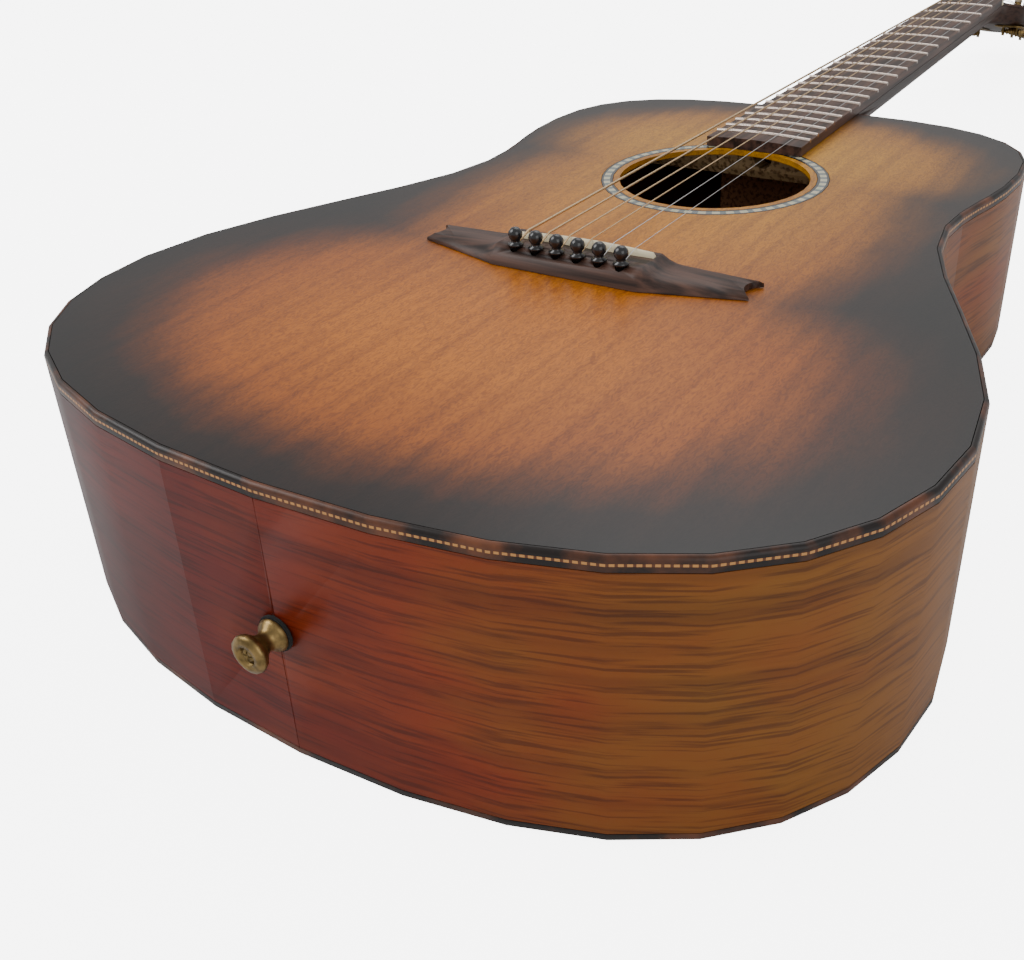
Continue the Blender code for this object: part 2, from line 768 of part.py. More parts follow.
def x_leg(side):
    """One bar of the X, tall at the crossing and scalloped below it."""
    crossing_point = Vector((0, X_CROSSING_Y))
    direction = Vector((side * math.sin(X_ANGLE), math.cos(X_ANGLE)))
    margin = BRACE_INSET + X_WIDTH / 2
    upper = reach(crossing_point, direction, margin)
    lower = reach(crossing_point, -direction, margin)
    length = upper + lower
    centre = upper / length
    heights = (
        (0, BRACE_END_HEIGHT),
        (centre * 0.35, X_HEIGHT * 0.8),
        (centre * 0.9, X_HEIGHT),
        (centre + 0.1, X_HEIGHT),
        (centre + (1 - centre) * 0.4, X_SCALLOP),
        (centre + (1 - centre) * 0.7, X_HEIGHT * 0.7),
        (1, BRACE_END_HEIGHT),
    )
    start = crossing_point + direction * upper
    end = crossing_point - direction * lower
    return brace(start, end, X_WIDTH, heights, UNDER_TOP)


def plain_heights(full):
    """Heights of a straight bar that thins out towards both ends."""
    return ((0, BRACE_END_HEIGHT), (0.18, full), (0.82, full), (1, BRACE_END_HEIGHT))


def add_top_braces(guitar):
    """The X, the two tone bars and the transverse brace above the sound hole."""
    x_brace = add_piece("x_brace", x_leg(1), "spruce", guitar)
    join(x_brace, x_leg(-1))
    direction = Vector((math.cos(TONE_BAR_ANGLE), -math.sin(TONE_BAR_ANGLE)))
    margin = BRACE_INSET + TONE_BAR_WIDTH / 2
    for number, y in enumerate(TONE_BAR_Y, 1):
        middle = Vector((0, y))
        bass_end = middle - direction * gap_to_leg(middle, -direction)
        treble_end = middle + direction * reach(middle, direction, margin)
        mesh = brace(bass_end, treble_end, TONE_BAR_WIDTH, plain_heights(TONE_BAR_HEIGHT), UNDER_TOP)
        add_piece(f"tone_bar_{number}", mesh, "spruce", guitar)
    y = UPPER_BRACE_Y
    half = half_width(y + UPPER_BRACE_WIDTH / 2, BRACE_INSET)
    heights = plain_heights(UPPER_BRACE_HEIGHT)
    mesh = brace((-half, y), (half, y), UPPER_BRACE_WIDTH, heights, UNDER_TOP)
    upper = add_piece("upper_brace", mesh, "spruce", guitar)
    near, far = y - UPPER_BRACE_WIDTH, y + UPPER_BRACE_WIDTH
    cut(upper, rod((0, near, -ROD_AXIS_DEPTH), (0, far, -ROD_AXIS_DEPTH), ROD_ACCESS_RADIUS))


def gap_to_leg(start, direction):
    """How far a tone bar runs before it meets the X's bass leg."""
    leg = Vector((-math.sin(X_ANGLE), -math.cos(X_ANGLE)))
    turn = direction.x * leg.y - direction.y * leg.x
    offset = Vector((0, X_CROSSING_Y)) - start
    along = (offset.x * leg.y - offset.y * leg.x) / turn
    clearance = (X_WIDTH / 2 + GAP) / abs(turn) + TONE_BAR_WIDTH / 2 * abs(direction.dot(leg) / turn)
    return along - clearance


def add_back_braces(guitar):
    """The four bars across the back, each following its arch."""
    for number, y in enumerate(BACK_BRACE_Y, 1):
        edges = (half_width(y - BACK_BRACE_WIDTH / 2, BRACE_INSET), half_width(y + BACK_BRACE_WIDTH / 2, BRACE_INSET))
        half = min(edges)
        facets = [(i + 0.5) * BACK_FACET for i in range(-5, 5) if abs((i + 0.5) * BACK_FACET) < half - 0.001]
        heights = []
        for x in [-half, *facets, half]:
            rise = min((half - abs(x)) / BACK_BRACE_RAMP, 1.0)
            height = BRACE_END_HEIGHT + (BACK_BRACE_HEIGHT - BRACE_END_HEIGHT) * math.sin(rise * math.pi / 2)
            heights.append(((x + half) / (2 * half), height))
        mesh = brace((-half, y), (half, y), BACK_BRACE_WIDTH, heights, ON_BACK)
        add_piece(f"back_brace_{number}", mesh, "spruce", guitar)


def leg_inner_x(y):
    """Inner edge of the X's leg at y, below the crossing."""
    return (X_CROSSING_Y - y) * math.tan(X_ANGLE) - X_WIDTH / 2 / math.cos(X_ANGLE)


def add_bridge_plate(guitar):
    """The hardwood pad that the strings' ball ends pull against."""
    front = leg_inner_x(BRIDGE_PLATE_FRONT_Y) - 2 * GAP
    rear = leg_inner_x(BRIDGE_PLATE_REAR_Y) - 2 * GAP
    outline = (
        (-rear, BRIDGE_PLATE_REAR_Y),
        (rear, BRIDGE_PLATE_REAR_Y),
        (front, BRIDGE_PLATE_FRONT_Y),
        (-front, BRIDGE_PLATE_FRONT_Y),
    )
    low = -TOP_UNDERSIDE - BRIDGE_PLATE_THICKNESS
    piece = add_piece("bridge_plate", plate(outline, low, -TOP_UNDERSIDE), "rosewood", guitar)
    cut(piece, pin_holes())


def string_x(number):
    """Sideways place of a string in its set, in string spacings from the middle."""
    return number - (STRING_COUNT - 1) / 2


def pin_holes():
    """Six straight holes through bridge, soundboard and bridge plate."""
    low = -TOP_UNDERSIDE - BRIDGE_PLATE_THICKNESS * 2
    high = BRIDGE_HEIGHT * 2
    return combined(
        rod(
            (string_x(i) * PIN_SPACING, PIN_LINE_Y, low),
            (string_x(i) * PIN_SPACING, PIN_LINE_Y, high),
            PIN_HOLE_RADIUS,
            12,
        )
        for i in range(STRING_COUNT)
    )


def bridge_section(x, front, rear, height):
    """A cross-section of the bridge, rounded along its front and its rear."""
    depth = front - rear
    foot = GAP
    return [
        (x, front, foot),
        (x, front, foot + (height - foot) * 0.55),
        (x, front - depth * 0.07, height),
        (x, rear + depth * 0.2, height),
        (x, rear + depth * 0.04, foot + (height - foot) * 0.5),
        (x, rear, foot),
    ]


def add_bridge(guitar):
    """The bridge: a block for saddle and pins, scooped down at both ends into thin wings."""
    wing = BRIDGE_HALF_LENGTH - BRIDGE_BLOCK_HALF - BRIDGE_SCOOP
    half = [(BRIDGE_BLOCK_HALF, BRIDGE_FRONT_Y, BRIDGE_REAR_Y, BRIDGE_HEIGHT)]
    for share, drop in ((0.35, 0.55), (0.7, 0.88), (1.0, 1.0)):
        height = BRIDGE_HEIGHT - (BRIDGE_HEIGHT - BRIDGE_WING_SHOULDER) * drop
        x = BRIDGE_BLOCK_HALF + BRIDGE_SCOOP * share
        half.append((x, BRIDGE_FRONT_Y, BRIDGE_REAR_Y + BRIDGE_SHOULDER_STEP * share, height))
    for share in (0.5, 1.0):
        x = BRIDGE_BLOCK_HALF + BRIDGE_SCOOP + wing * share
        front = BRIDGE_FRONT_Y + (BRIDGE_TIP_FRONT_Y - BRIDGE_FRONT_Y) * share
        shoulder_rear = BRIDGE_REAR_Y + BRIDGE_SHOULDER_STEP
        rear = shoulder_rear + (BRIDGE_TIP_REAR_Y - shoulder_rear) * share
        height = BRIDGE_WING_SHOULDER + (BRIDGE_WING_HEIGHT - BRIDGE_WING_SHOULDER) * share
        half.append((x, front, rear, height))
    sections = [bridge_section(-x, *rest) for x, *rest in reversed(half)]
    sections += [bridge_section(x, *rest) for x, *rest in half]
    piece = add_piece("bridge", loft(sections), "rosewood", guitar)
    slot = box(
        (-SADDLE_LENGTH / 2 - GAP, -SADDLE_THICKNESS / 2 - GAP, BRIDGE_HEIGHT - SADDLE_IN_SLOT - GAP),
        (SADDLE_LENGTH / 2 + GAP, SADDLE_THICKNESS / 2 + GAP, BRIDGE_HEIGHT * 2),
    )
    slot.transform(saddle_place())
    cut(piece, slot)
    cut(piece, pin_holes())
    notch_x = BRIDGE_HALF_LENGTH + BRIDGE_NOTCH_RADIUS - BRIDGE_SWALLOWTAIL
    notch_y = (BRIDGE_TIP_FRONT_Y + BRIDGE_TIP_REAR_Y) / 2
    for x in (-notch_x, notch_x):
        cut(piece, rod((x, notch_y, -BRIDGE_HEIGHT), (x, notch_y, BRIDGE_HEIGHT), BRIDGE_NOTCH_RADIUS, 20))


def saddle_place():
    """The saddle's slant across the bridge, longer on the bass side."""
    return Matrix.Translation((0, SADDLE_Y, 0)) @ Matrix.Rotation(SADDLE_SLANT, 4, "Z")


def saddle_top(x):
    """Height of the saddle's crown, which follows the fretboard's radius."""
    return BRIDGE_HEIGHT + SADDLE_STAND - x**2 / (2 * FRETBOARD_RADIUS)


def add_saddle(guitar):
    """The bone saddle, rounded over its top."""
    low = BRIDGE_HEIGHT - SADDLE_IN_SLOT
    half = SADDLE_THICKNESS / 2
    rings = []
    for share in (-1, -0.97, -0.6, -0.2, 0.2, 0.6, 0.97, 1):
        x = share * SADDLE_LENGTH / 2
        top = saddle_top(x) - (0.0012 if abs(share) == 1 else 0)
        section = (
            (-half, low),
            (half, low),
            (half, top - half * 0.7),
            (half * 0.55, top - half * 0.15),
            (0, top),
            (-half * 0.45, top - half * 0.15),
            (-half, top - half),
        )
        rings.append([(x, y, z) for y, z in section])
    mesh = loft(rings)
    mesh.transform(saddle_place())
    add_piece("saddle", mesh, "bone", guitar)


def slot_offset(radius):
    """How far a string lies in front of its pin's axis."""
    return PIN_HOLE_RADIUS - GAP - radius


def add_bridge_pins(guitar):
    """Six turned pins, each with a slot for its string, that pull straight up."""
    seat = BRIDGE_HEIGHT + GAP
    collar_top = PIN_COLLAR_HEIGHT
    ball = collar_top + 0.0006 + PIN_BALL_RADIUS
    profile = [(0, ball + PIN_BALL_RADIUS)]
    for degrees in (58, 28, 0, -28, -52):
        angle = math.radians(degrees)
        profile.append((PIN_BALL_RADIUS * math.cos(angle), ball + PIN_BALL_RADIUS * math.sin(angle)))
    profile += [
        (PIN_COLLAR_RADIUS * 0.6, collar_top + 0.0002),
        (PIN_COLLAR_RADIUS, collar_top * 0.7),
        (PIN_COLLAR_RADIUS, 0),
        (PIN_RADIUS, 0),
        (PIN_TIP_RADIUS, -PIN_SHAFT + 0.001),
        (0, -PIN_SHAFT),
    ]
    for i, diameter in enumerate(STRING_DIAMETERS):
        place = (string_x(i) * PIN_SPACING, PIN_LINE_Y, seat)
        pin = turned(f"bridge_pin_{i + 1}", profile, "pin", guitar, place, steps=12)
        half = diameter / 2 + GAP
        floor = slot_offset(diameter / 2) - half
        ceiling = collar_top + 0.0004 + diameter + 2 * GAP
        cut(pin, box((-half, floor, -PIN_SHAFT * 1.1), (half, PIN_COLLAR_RADIUS * 2, ceiling)))


def fret_y(number):
    """Place of a fret along the neck; fret 0 is the nut's front face."""
    return NUT_Y - SCALE_LENGTH * (1 - 2 ** (-number / 12))


def board_half(y):
    """Half the fretboard's width at y."""
    widening = (TWELFTH_FRET_WIDTH - NUT_WIDTH) / (NUT_Y - fret_y(12))
    return (NUT_WIDTH + widening * (NUT_Y - y)) / 2


def camber(x):
    """Drop of the fretboard's rounded top at x."""
    return x**2 / (2 * FRETBOARD_RADIUS)


def add_fretboard(guitar):
    """The fretboard with its frets, both rounded across."""
    top = GAP + FRETBOARD_THICKNESS
    rows = [(fret_y(FRET_COUNT) - FRETBOARD_TAIL, 0)]
    for number in range(FRET_COUNT, 0, -1):
        y = fret_y(number)
        rows += [
            (y - FRET_WIDTH / 2, 0),
            (y - FRET_CROWN / 2, FRET_HEIGHT),
            (y + FRET_CROWN / 2, FRET_HEIGHT),
            (y + FRET_WIDTH / 2, 0),
        ]
    rows.append((NUT_Y - GAP, 0))
    rings = []
    for y, rise in rows:
        half = board_half(y)
        arch = [(share * half, y, top + rise - camber(share * half)) for share in (1, 0.5, 0, -0.5, -1)]
        rings.append([(-half, y, GAP), (half, y, GAP), *arch])
    add_piece("fretboard", loft(rings), "rosewood", guitar)


def string_height_at_nut(number):
    """Height of a string's centre over the nut."""
    x = string_x(number) * NUT_STRING_SPACING
    fret_top = GAP + FRETBOARD_THICKNESS + FRET_HEIGHT - camber(x)
    return fret_top + STRING_CLEARANCE_AT_NUT + STRING_DIAMETERS[number] / 2


def add_nut(guitar):
    """The bone nut, with a slot for each string."""
    half = NUT_WIDTH / 2
    top = GAP + FRETBOARD_THICKNESS + NUT_STAND
    outline = [(-half, GAP), (half, GAP), (half, top - camber(half))]
    for i in reversed(range(STRING_COUNT)):
        x = string_x(i) * NUT_STRING_SPACING
        slot = STRING_DIAMETERS[i] / 2 + GAP
        floor = string_height_at_nut(i) - slot
        surface = top - camber(x)
        outline += [(x + slot, surface), (x + slot, floor), (x - slot, floor), (x - slot, surface)]
    outline.append((-half, top - camber(half)))
    mesh = plate(outline, -NUT_THICKNESS / 2, NUT_THICKNESS / 2)
    mesh.transform(Matrix.Rotation(math.pi / 2, 4, "X"))
    add_piece("nut", mesh, "bone", guitar, (0, NUT_Y + NUT_THICKNESS / 2, 0))


def rounded_half(half, depth, squareness, points=12):
    """A half ring: flat across its top, and round or square below, as (x, depth) pairs."""
    ring_points = []
    for i in range(points + 1):
        angle = math.pi * i / points
        x = half * math.copysign(abs(math.cos(angle)) ** (2 / squareness), math.cos(angle))
        ring_points.append((x, depth * math.sin(angle) ** (2 / squareness)))
    return ring_points


def head_half(distance):
    """Half the headstock's width at a distance past the nut."""
    if distance < HEAD_FLARE_END:
        share = max(distance - HEAD_FLARE_START, 0) / (HEAD_FLARE_END - HEAD_FLARE_START)
        ease = share * share * (3 - 2 * share)
        return NUT_WIDTH / 2 + (HEAD_HALF_AT_EARS - NUT_WIDTH / 2) * ease
    share = (distance - HEAD_FLARE_END) / (HEAD_LENGTH - HEAD_FLARE_END)
    straight = HEAD_HALF_AT_EARS + (HEAD_HALF_AT_TIP - HEAD_HALF_AT_EARS) * share
    into_corner = max(distance - (HEAD_LENGTH - HEAD_CORNER), 0)
    return straight - HEAD_CORNER + math.sqrt(max(HEAD_CORNER**2 - into_corner**2, 0))


def head_stations():
    """Distances past the nut at which the headstock's outline is drawn."""
    flare = HEAD_FLARE_END - HEAD_FLARE_START
    rising = [HEAD_FLARE_START + flare * share for share in (0, 0.25, 0.5, 0.75, 1)]
    corner = [HEAD_LENGTH - HEAD_CORNER * (1 - math.sin(math.radians(a))) for a in (0, 30, 60, 90)]
    return rising + [(rising[-1] + corner[0]) / 2] + corner


def in_head(x, distance, height):
    """A point of the headstock's frame, in the guitar's frame."""
    along = Vector((0, math.cos(HEAD_ANGLE), -math.sin(HEAD_ANGLE)))
    out = Vector((0, math.sin(HEAD_ANGLE), math.cos(HEAD_ANGLE)))
    return Vector((x, HEAD_START_Y, 0)) + along * distance + out * height


def neck_shaft():
    """The neck from the body to the nut, running on into the tilted headstock."""
    rings = []
    for y in (GAP, NUT_Y * 0.12, NUT_Y * 0.5, NUT_Y * 0.85, HEAD_START_Y):
        share = y / HEAD_START_Y
        depth = NECK_DEPTH_AT_HEEL + (NECK_DEPTH_AT_NUT - NECK_DEPTH_AT_HEEL) * share
        half = board_half(min(y, NUT_Y))
        rings.append([(x, y, -d) for x, d in rounded_half(half, depth, NECK_ROUNDNESS)])
    for distance in head_stations():
        share = min(distance / HEAD_THINNING, 1)
        depth = NECK_DEPTH_AT_NUT + (HEAD_THICKNESS - NECK_DEPTH_AT_NUT) * share
        squareness = NECK_ROUNDNESS + (HEAD_SQUARENESS - NECK_ROUNDNESS) * share**2
        section = rounded_half(head_half(distance), depth, squareness)
        rings.append([in_head(x, distance, -d) for x, d in section])
    return loft(rings)


def heel_bottom():
    """Height of the heel's end, which stops just inside the plane of the back."""
    return -DEPTH_AT_NECK + HEEL_CAP_LIFT + HEEL_CAP_THICKNESS + GAP


def heel_ring(share, z):
    """A level section of the heel, flat against the body."""
    fall = (1 - share) ** HEEL_SWEEP
    nose = HEEL_REACH_AT_CAP + (HEEL_REACH_AT_ROOT - HEEL_REACH_AT_CAP) * fall
    root_half = board_half(0) - GAP
    half = HEEL_HALF_AT_CAP + (root_half - HEEL_HALF_AT_CAP) * (1 - share) ** HEEL_TAPER
    return [(x, GAP + y, z) for x, y in rounded_half(half, nose, 2.0)]


def heel():
    """The heel, sweeping down from the neck's back to the heel cap."""
    top, bottom = -NECK_DEPTH_AT_HEEL * 0.95, heel_bottom()
    rings = [heel_ring(0, -GAP)]
    for share in (0, 0.05, 0.12, 0.22, 0.35, 0.55, 0.8, 1):
        rings.append(heel_ring(share, top + (bottom - top) * share))
    return loft(rings)


def add_neck(guitar, head):
    """Neck, heel and headstock in one piece of wood, and the pieces glued to it."""
    neck = add_piece("neck", neck_shaft(), "neck", guitar)
    join(neck, heel())
    join(neck, tenon(0))
    slot_low = (-ROD_WIDTH / 2 - GAP, rod_start() - GAP, -ROD_HEIGHT - 2 * GAP)
    slot_high = (ROD_WIDTH / 2 + GAP, rod_stop() + GAP, ROD_HEIGHT)
    cut(neck, box(slot_low, slot_high))
    channel = (0, -TENON_LENGTH * 1.5, -ROD_AXIS_DEPTH), (0, rod_start() + ROD_WIDTH, -ROD_AXIS_DEPTH)
    cut(neck, rod(*channel, ROD_DIAMETER / 2 + GAP))
    cut(neck, post_holes())

    outline = [(head_half(s), s) for s in [GAP, *head_stations()]]
    outline += [(-x, s) for x, s in reversed(outline)]
    veneer = plate(outline, GAP, GAP + VENEER_THICKNESS)
    veneer.transform(head.matrix_local)
    piece = add_piece("headstock_veneer", veneer, "rosewood", guitar)
    cut(piece, post_holes())

    cap = []
    for lift in (HEEL_CAP_LIFT, HEEL_CAP_LIFT + HEEL_CAP_THICKNESS):
        cap.append([(x, y, lift - DEPTH_AT_NECK) for x, y, _ in heel_ring(1, 0)])
    add_piece("heel_cap", loft(cap), "binding", guitar)


def rod_start():
    return TENON_LENGTH


def rod_stop():
    return NUT_Y - TENON_LENGTH / 2


def post_holes():
    """The holes that the six tuner posts turn in."""
    holes = []
    for side in (-1, 1):
        for distance in POST_DISTANCES:
            low = in_head(side * POST_X, distance, -HEAD_THICKNESS * 1.5)
            high = in_head(side * POST_X, distance, HEAD_THICKNESS)
            holes.append(rod(low, high, POST_RADIUS + POST_CLEARANCE, 16))
    return combined(holes)


def add_truss_rod(guitar):
    """The adjustable rod in the neck, and the socket nut that a key turns through the hole."""
    low = (-ROD_WIDTH / 2, rod_start(), -ROD_HEIGHT - GAP)
    high = (ROD_WIDTH / 2, rod_stop(), -GAP)
    piece = add_piece("truss_rod", box(low, high), "steel", guitar)
    end = (0, -NECK_BLOCK_REACH - GAP, -ROD_AXIS_DEPTH)
    join(piece, rod((0, rod_start() + ROD_WIDTH / 2, -ROD_AXIS_DEPTH), end, ROD_DIAMETER / 2, 12))
    radius = ROD_NUT_DIAMETER / 2
    profile = [
        (0, ROD_NUT_LENGTH),
        (radius * 0.85, ROD_NUT_LENGTH),
        (radius, ROD_NUT_LENGTH * 0.93),
        (radius, 0.0004),
        (radius * 0.9, 0),
        (0, 0),
    ]
    place = (0, -NECK_BLOCK_REACH - 2 * GAP, -ROD_AXIS_DEPTH)
    nut = turned("truss_rod_nut", profile, "steel", guitar, place, steps=16, turn=(math.pi / 2, 0, 0))
    socket = rod((0, -ROD_NUT_LENGTH * 0.3, 0), (0, -ROD_NUT_LENGTH * 1.2, 0), ROD_HEX / math.sqrt(3), 6)
    cut(nut, socket)


def strap_button_z():
    """Height of the strap button, in the middle of the tail."""
    return -DEPTH_AT_TAIL * BUTTON_HEIGHT_SHARE


def screw_hole(clearance):
    """The way of the strap button's screw through seam and tail block."""
    z = strap_button_z()
    radius = SCREW_RADIUS + clearance
    return rod((0, -BODY_LENGTH - 0.01, z), (0, screw_tip_y() + 2 * clearance, z), radius, 12)


def screw_tip_y():
    return -BODY_LENGTH - GAP - WASHER_THICKNESS - GAP - STRAP_BUTTON_LENGTH * 0.9 + SCREW_LENGTH


def add_strap_button(guitar):
    """Felt washer, flared button and its cross-headed screw, on the tail seam."""
    face = -BODY_LENGTH - GAP
    turn = (math.pi / 2, 0, 0)
    z = strap_button_z()
    bore = SCREW_RADIUS + GAP
    washer = [
        (bore, WASHER_THICKNESS),
        (WASHER_RADIUS, WASHER_THICKNESS),
        (WASHER_RADIUS, 0),
        (bore, 0),
        (bore, WASHER_THICKNESS),
    ]
    turned("strap_button_washer", washer, "felt", guitar, (0, face, z), steps=16, turn=turn)
    seat = face - WASHER_THICKNESS - GAP
    length, head = STRAP_BUTTON_LENGTH, STRAP_BUTTON_HEAD
    recess = SCREW_HEAD_RADIUS + GAP
    profile = [
        (recess, length),
        (head * 0.72, length),
        (head * 0.95, length * 0.94),
        (head, length * 0.84),
        (head * 0.9, length * 0.72),
        (STRAP_BUTTON_WAIST * 1.25, length * 0.55),
        (STRAP_BUTTON_WAIST, length * 0.38),
        (STRAP_BUTTON_WAIST * 1.2, length * 0.22),
        (STRAP_BUTTON_BASE * 0.9, length * 0.13),
        (STRAP_BUTTON_BASE, length * 0.05),
        (STRAP_BUTTON_BASE, 0),
        (bore, 0),
        (bore, length * 0.7),
        (recess, length * 0.8),
        (recess, length),
    ]
    turned("strap_button", profile, "antique_brass", guitar, (0, seat, z), steps=16, turn=turn)
    top = length * 0.96
    neck = length * 0.8 + GAP
    screw = [
        (0, top),
        (SCREW_HEAD_RADIUS * 0.6, top - 0.0002),
        (SCREW_HEAD_RADIUS, top - 0.0010),
        (SCREW_HEAD_RADIUS, neck),
        (SCREW_RADIUS, length * 0.7 + GAP),
        (SCREW_RADIUS, top - SCREW_LENGTH + 0.006),
        (0, top - SCREW_LENGTH),
    ]
    piece = turned("strap_button_screw", screw, "antique_brass", guitar, (0, seat, z), steps=12, turn=turn)
    arm, width, deep = SCREW_HEAD_RADIUS * 0.6, 0.0005, 0.0012
    for half in ((arm, width), (width, arm)):
        low = (-half[0], -top - 0.001, -half[1])
        high = (half[0], -top + deep, half[1])
        cut(piece, box(low, high))


def machine_height():
    """Height of the worm's axis in the headstock's frame."""
    return -WORM_DEPTH


def worm_radius(distance, angle):
    """Radius of the worm's right-hand thread at a place along it and round it."""
    phase = (distance / WORM_PITCH - angle / (2 * math.pi)) % 1.0
    from_crest = min(phase, 1 - phase)
    share = min(max((0.3 - from_crest) / 0.2, 0), 1)
    return WORM_CORE_RADIUS + (WORM_THREAD_RADIUS - WORM_CORE_RADIUS) * share


def knob_mesh():
    """Shaft, worm and button of a treble tuner, along +x from the post's plane."""
    sides = 8
    rings = []

    def round_ring(x, half_along, half_thick):
        ring_points = []
        for i in range(sides):
            angle = 2 * math.pi * i / sides
            ring_points.append((x, half_along * math.cos(angle), half_thick * math.sin(angle)))
        rings.append(ring_points)

    inner_end = -EAR_OFFSET - EAR_THICKNESS - 0.0008
    round_ring(inner_end, KNOB_SHAFT_RADIUS, KNOB_SHAFT_RADIUS)
    worm_steps = round(WORM_LENGTH / WORM_PITCH * 4)
    round_ring(-WORM_LENGTH / 2 - 0.0002, KNOB_SHAFT_RADIUS, KNOB_SHAFT_RADIUS)
    for step in range(worm_steps + 1):
        x = WORM_LENGTH * (step / worm_steps - 0.5)
        ring_points = []
        for i in range(sides):
            angle = 2 * math.pi * i / sides
            radius = worm_radius(x, angle) if 0 < step < worm_steps else WORM_CORE_RADIUS
            ring_points.append((x, radius * math.cos(angle), radius * math.sin(angle)))
        rings.append(ring_points)
    collar = EAR_OFFSET + EAR_THICKNESS + GAP
    for x, radius in (
        (WORM_LENGTH / 2 + 0.0002, KNOB_SHAFT_RADIUS),
        (collar, KNOB_SHAFT_RADIUS),
        (collar, KNOB_SHAFT_RADIUS * 1.7),
        (collar + 0.0012, KNOB_SHAFT_RADIUS * 1.7),
        (collar + 0.0014, KNOB_SHAFT_RADIUS * 1.2),
        (BUTTON_START, KNOB_SHAFT_RADIUS * 1.2),
    ):
        round_ring(x, radius, radius)
    for share, width, thickness in (
        (0.0, 0.3, 0.65),
        (0.12, 0.62, 0.85),
        (0.34, 0.92, 1.0),
        (0.6, 1.0, 0.98),
        (0.82, 0.86, 0.85),
        (0.95, 0.55, 0.6),
        (1.0, 0.25, 0.3),
    ):
        x = BUTTON_START + 0.0004 + BUTTON_LENGTH * share
        round_ring(x, BUTTON_HALF_WIDTH * width, BUTTON_HALF_THICKNESS * thickness)
    return loft(rings)


def gear_mesh():
    """The worm wheel, its teeth slanted to the worm's lead, about the post's axis."""
    tip = WORM_DISTANCE - WORM_CORE_RADIUS - TOOTH_CLEARANCE
    root = WORM_DISTANCE - WORM_THREAD_RADIUS - TOOTH_CLEARANCE
    lead = math.atan2(WORM_PITCH, 2 * math.pi * WORM_PITCH_RADIUS)
    twist = GEAR_THICKNESS * math.tan(lead) / GEAR_PITCH_RADIUS
    tooth = 2 * math.pi / GEAR_TEETH
    rings = []
    for level in (-0.5, 0.5):
        ring_points = []
        for number in range(GEAR_TEETH):
            middle = -math.pi / 2 + (number + 0.5) * tooth - twist * level
            for share, radius in ((-0.27, root), (-0.10, tip), (0.10, tip), (0.27, root)):
                angle = middle + share * tooth
                ring_points.append((radius * math.cos(angle), radius * math.sin(angle), level * GEAR_THICKNESS))
        rings.append(ring_points)
    mesh = loft(rings)
    mesh.transform(Matrix.Translation((0, 0, machine_height())))
    return mesh


def post_mesh(head):
    """The string post with its gear, about its own axis."""
    foot = machine_height() - GEAR_THICKNESS / 2
    collar_top = -HEAD_THICKNESS - GAP - MACHINE_PLATE_THICKNESS - GAP
    face = GAP + VENEER_THICKNESS
    top = face + POST_STAND
    profile = [
        (0, top),
        (POST_RADIUS * 0.75, top),
        (POST_RADIUS, top - 0.0007),
        (POST_RADIUS, collar_top),
        (POST_RADIUS * 1.25, collar_top),
        (POST_RADIUS * 1.25, foot + GEAR_THICKNESS * 0.5),
        (POST_RADIUS * 0.9, foot),
        (POST_RADIUS * 0.7, foot - 0.0008),
        (0, foot - 0.0008),
    ]
    post = turned("post_blank", profile, "antique_brass", head, steps=10)
    join(post, gear_mesh())
    hole_height = face + POST_STAND * 0.78
    cut(post, rod((0, -POST_RADIUS * 2, hole_height), (0, POST_RADIUS * 2, hole_height), 0.0009, 8))
    return bake(post)


def machine_plate(side, head):
    """The plate that carries three machines, with two ears for each worm shaft."""
    top = -HEAD_THICKNESS - GAP
    low = top - MACHINE_PLATE_THICKNESS
    ends = (POST_DISTANCES[0] - MACHINE_PLATE_MARGIN - 0.004, POST_DISTANCES[-1] + MACHINE_PLATE_MARGIN)
    near, far = MACHINE_PLATE_X - MACHINE_PLATE_WIDTH / 2, MACHINE_PLATE_X + MACHINE_PLATE_WIDTH / 2
    corner = 0.003
    outline = (
        (near + corner, ends[0]),
        (far - corner, ends[0]),
        (far, ends[0] + corner),
        (far, ends[1] - corner),
        (far - corner, ends[1]),
        (near + corner, ends[1]),
        (near, ends[1] - corner),
        (near, ends[0] + corner),
    )
    name = "tuner_plate_treble" if side > 0 else "tuner_plate_bass"
    outline = [(side * x, y) for x, y in outline]
    piece = add_piece(name, plate(outline, low, top), "antique_brass", head)
    ears, shafts, posts = [], [], []
    foot = machine_height() - KNOB_SHAFT_RADIUS - EAR_EDGE
    for distance in POST_DISTANCES:
        s = distance - WORM_DISTANCE
        for offset in (-EAR_OFFSET - EAR_THICKNESS, EAR_OFFSET):
            xs = sorted((side * (POST_X + offset), side * (POST_X + offset + EAR_THICKNESS)))
            ears.append(box((xs[0], s - EAR_HALF_WIDTH, foot), (xs[1], s + EAR_HALF_WIDTH, low + GAP)))
        reach_x = EAR_OFFSET + EAR_THICKNESS * 2
        ends_x = (side * (POST_X - reach_x), side * (POST_X + reach_x))
        height = machine_height()
        shafts.append(rod((ends_x[0], s, height), (ends_x[1], s, height), KNOB_SHAFT_RADIUS + GAP / 2, 12))
        posts.append(
            rod(
                (side * POST_X, distance, low * 1.2),
                (side * POST_X, distance, 0),
                POST_RADIUS + POST_CLEARANCE,
                12,
            )
        )
    join(piece, combined(ears))
    cut(piece, combined(shafts))
    cut(piece, combined(posts))


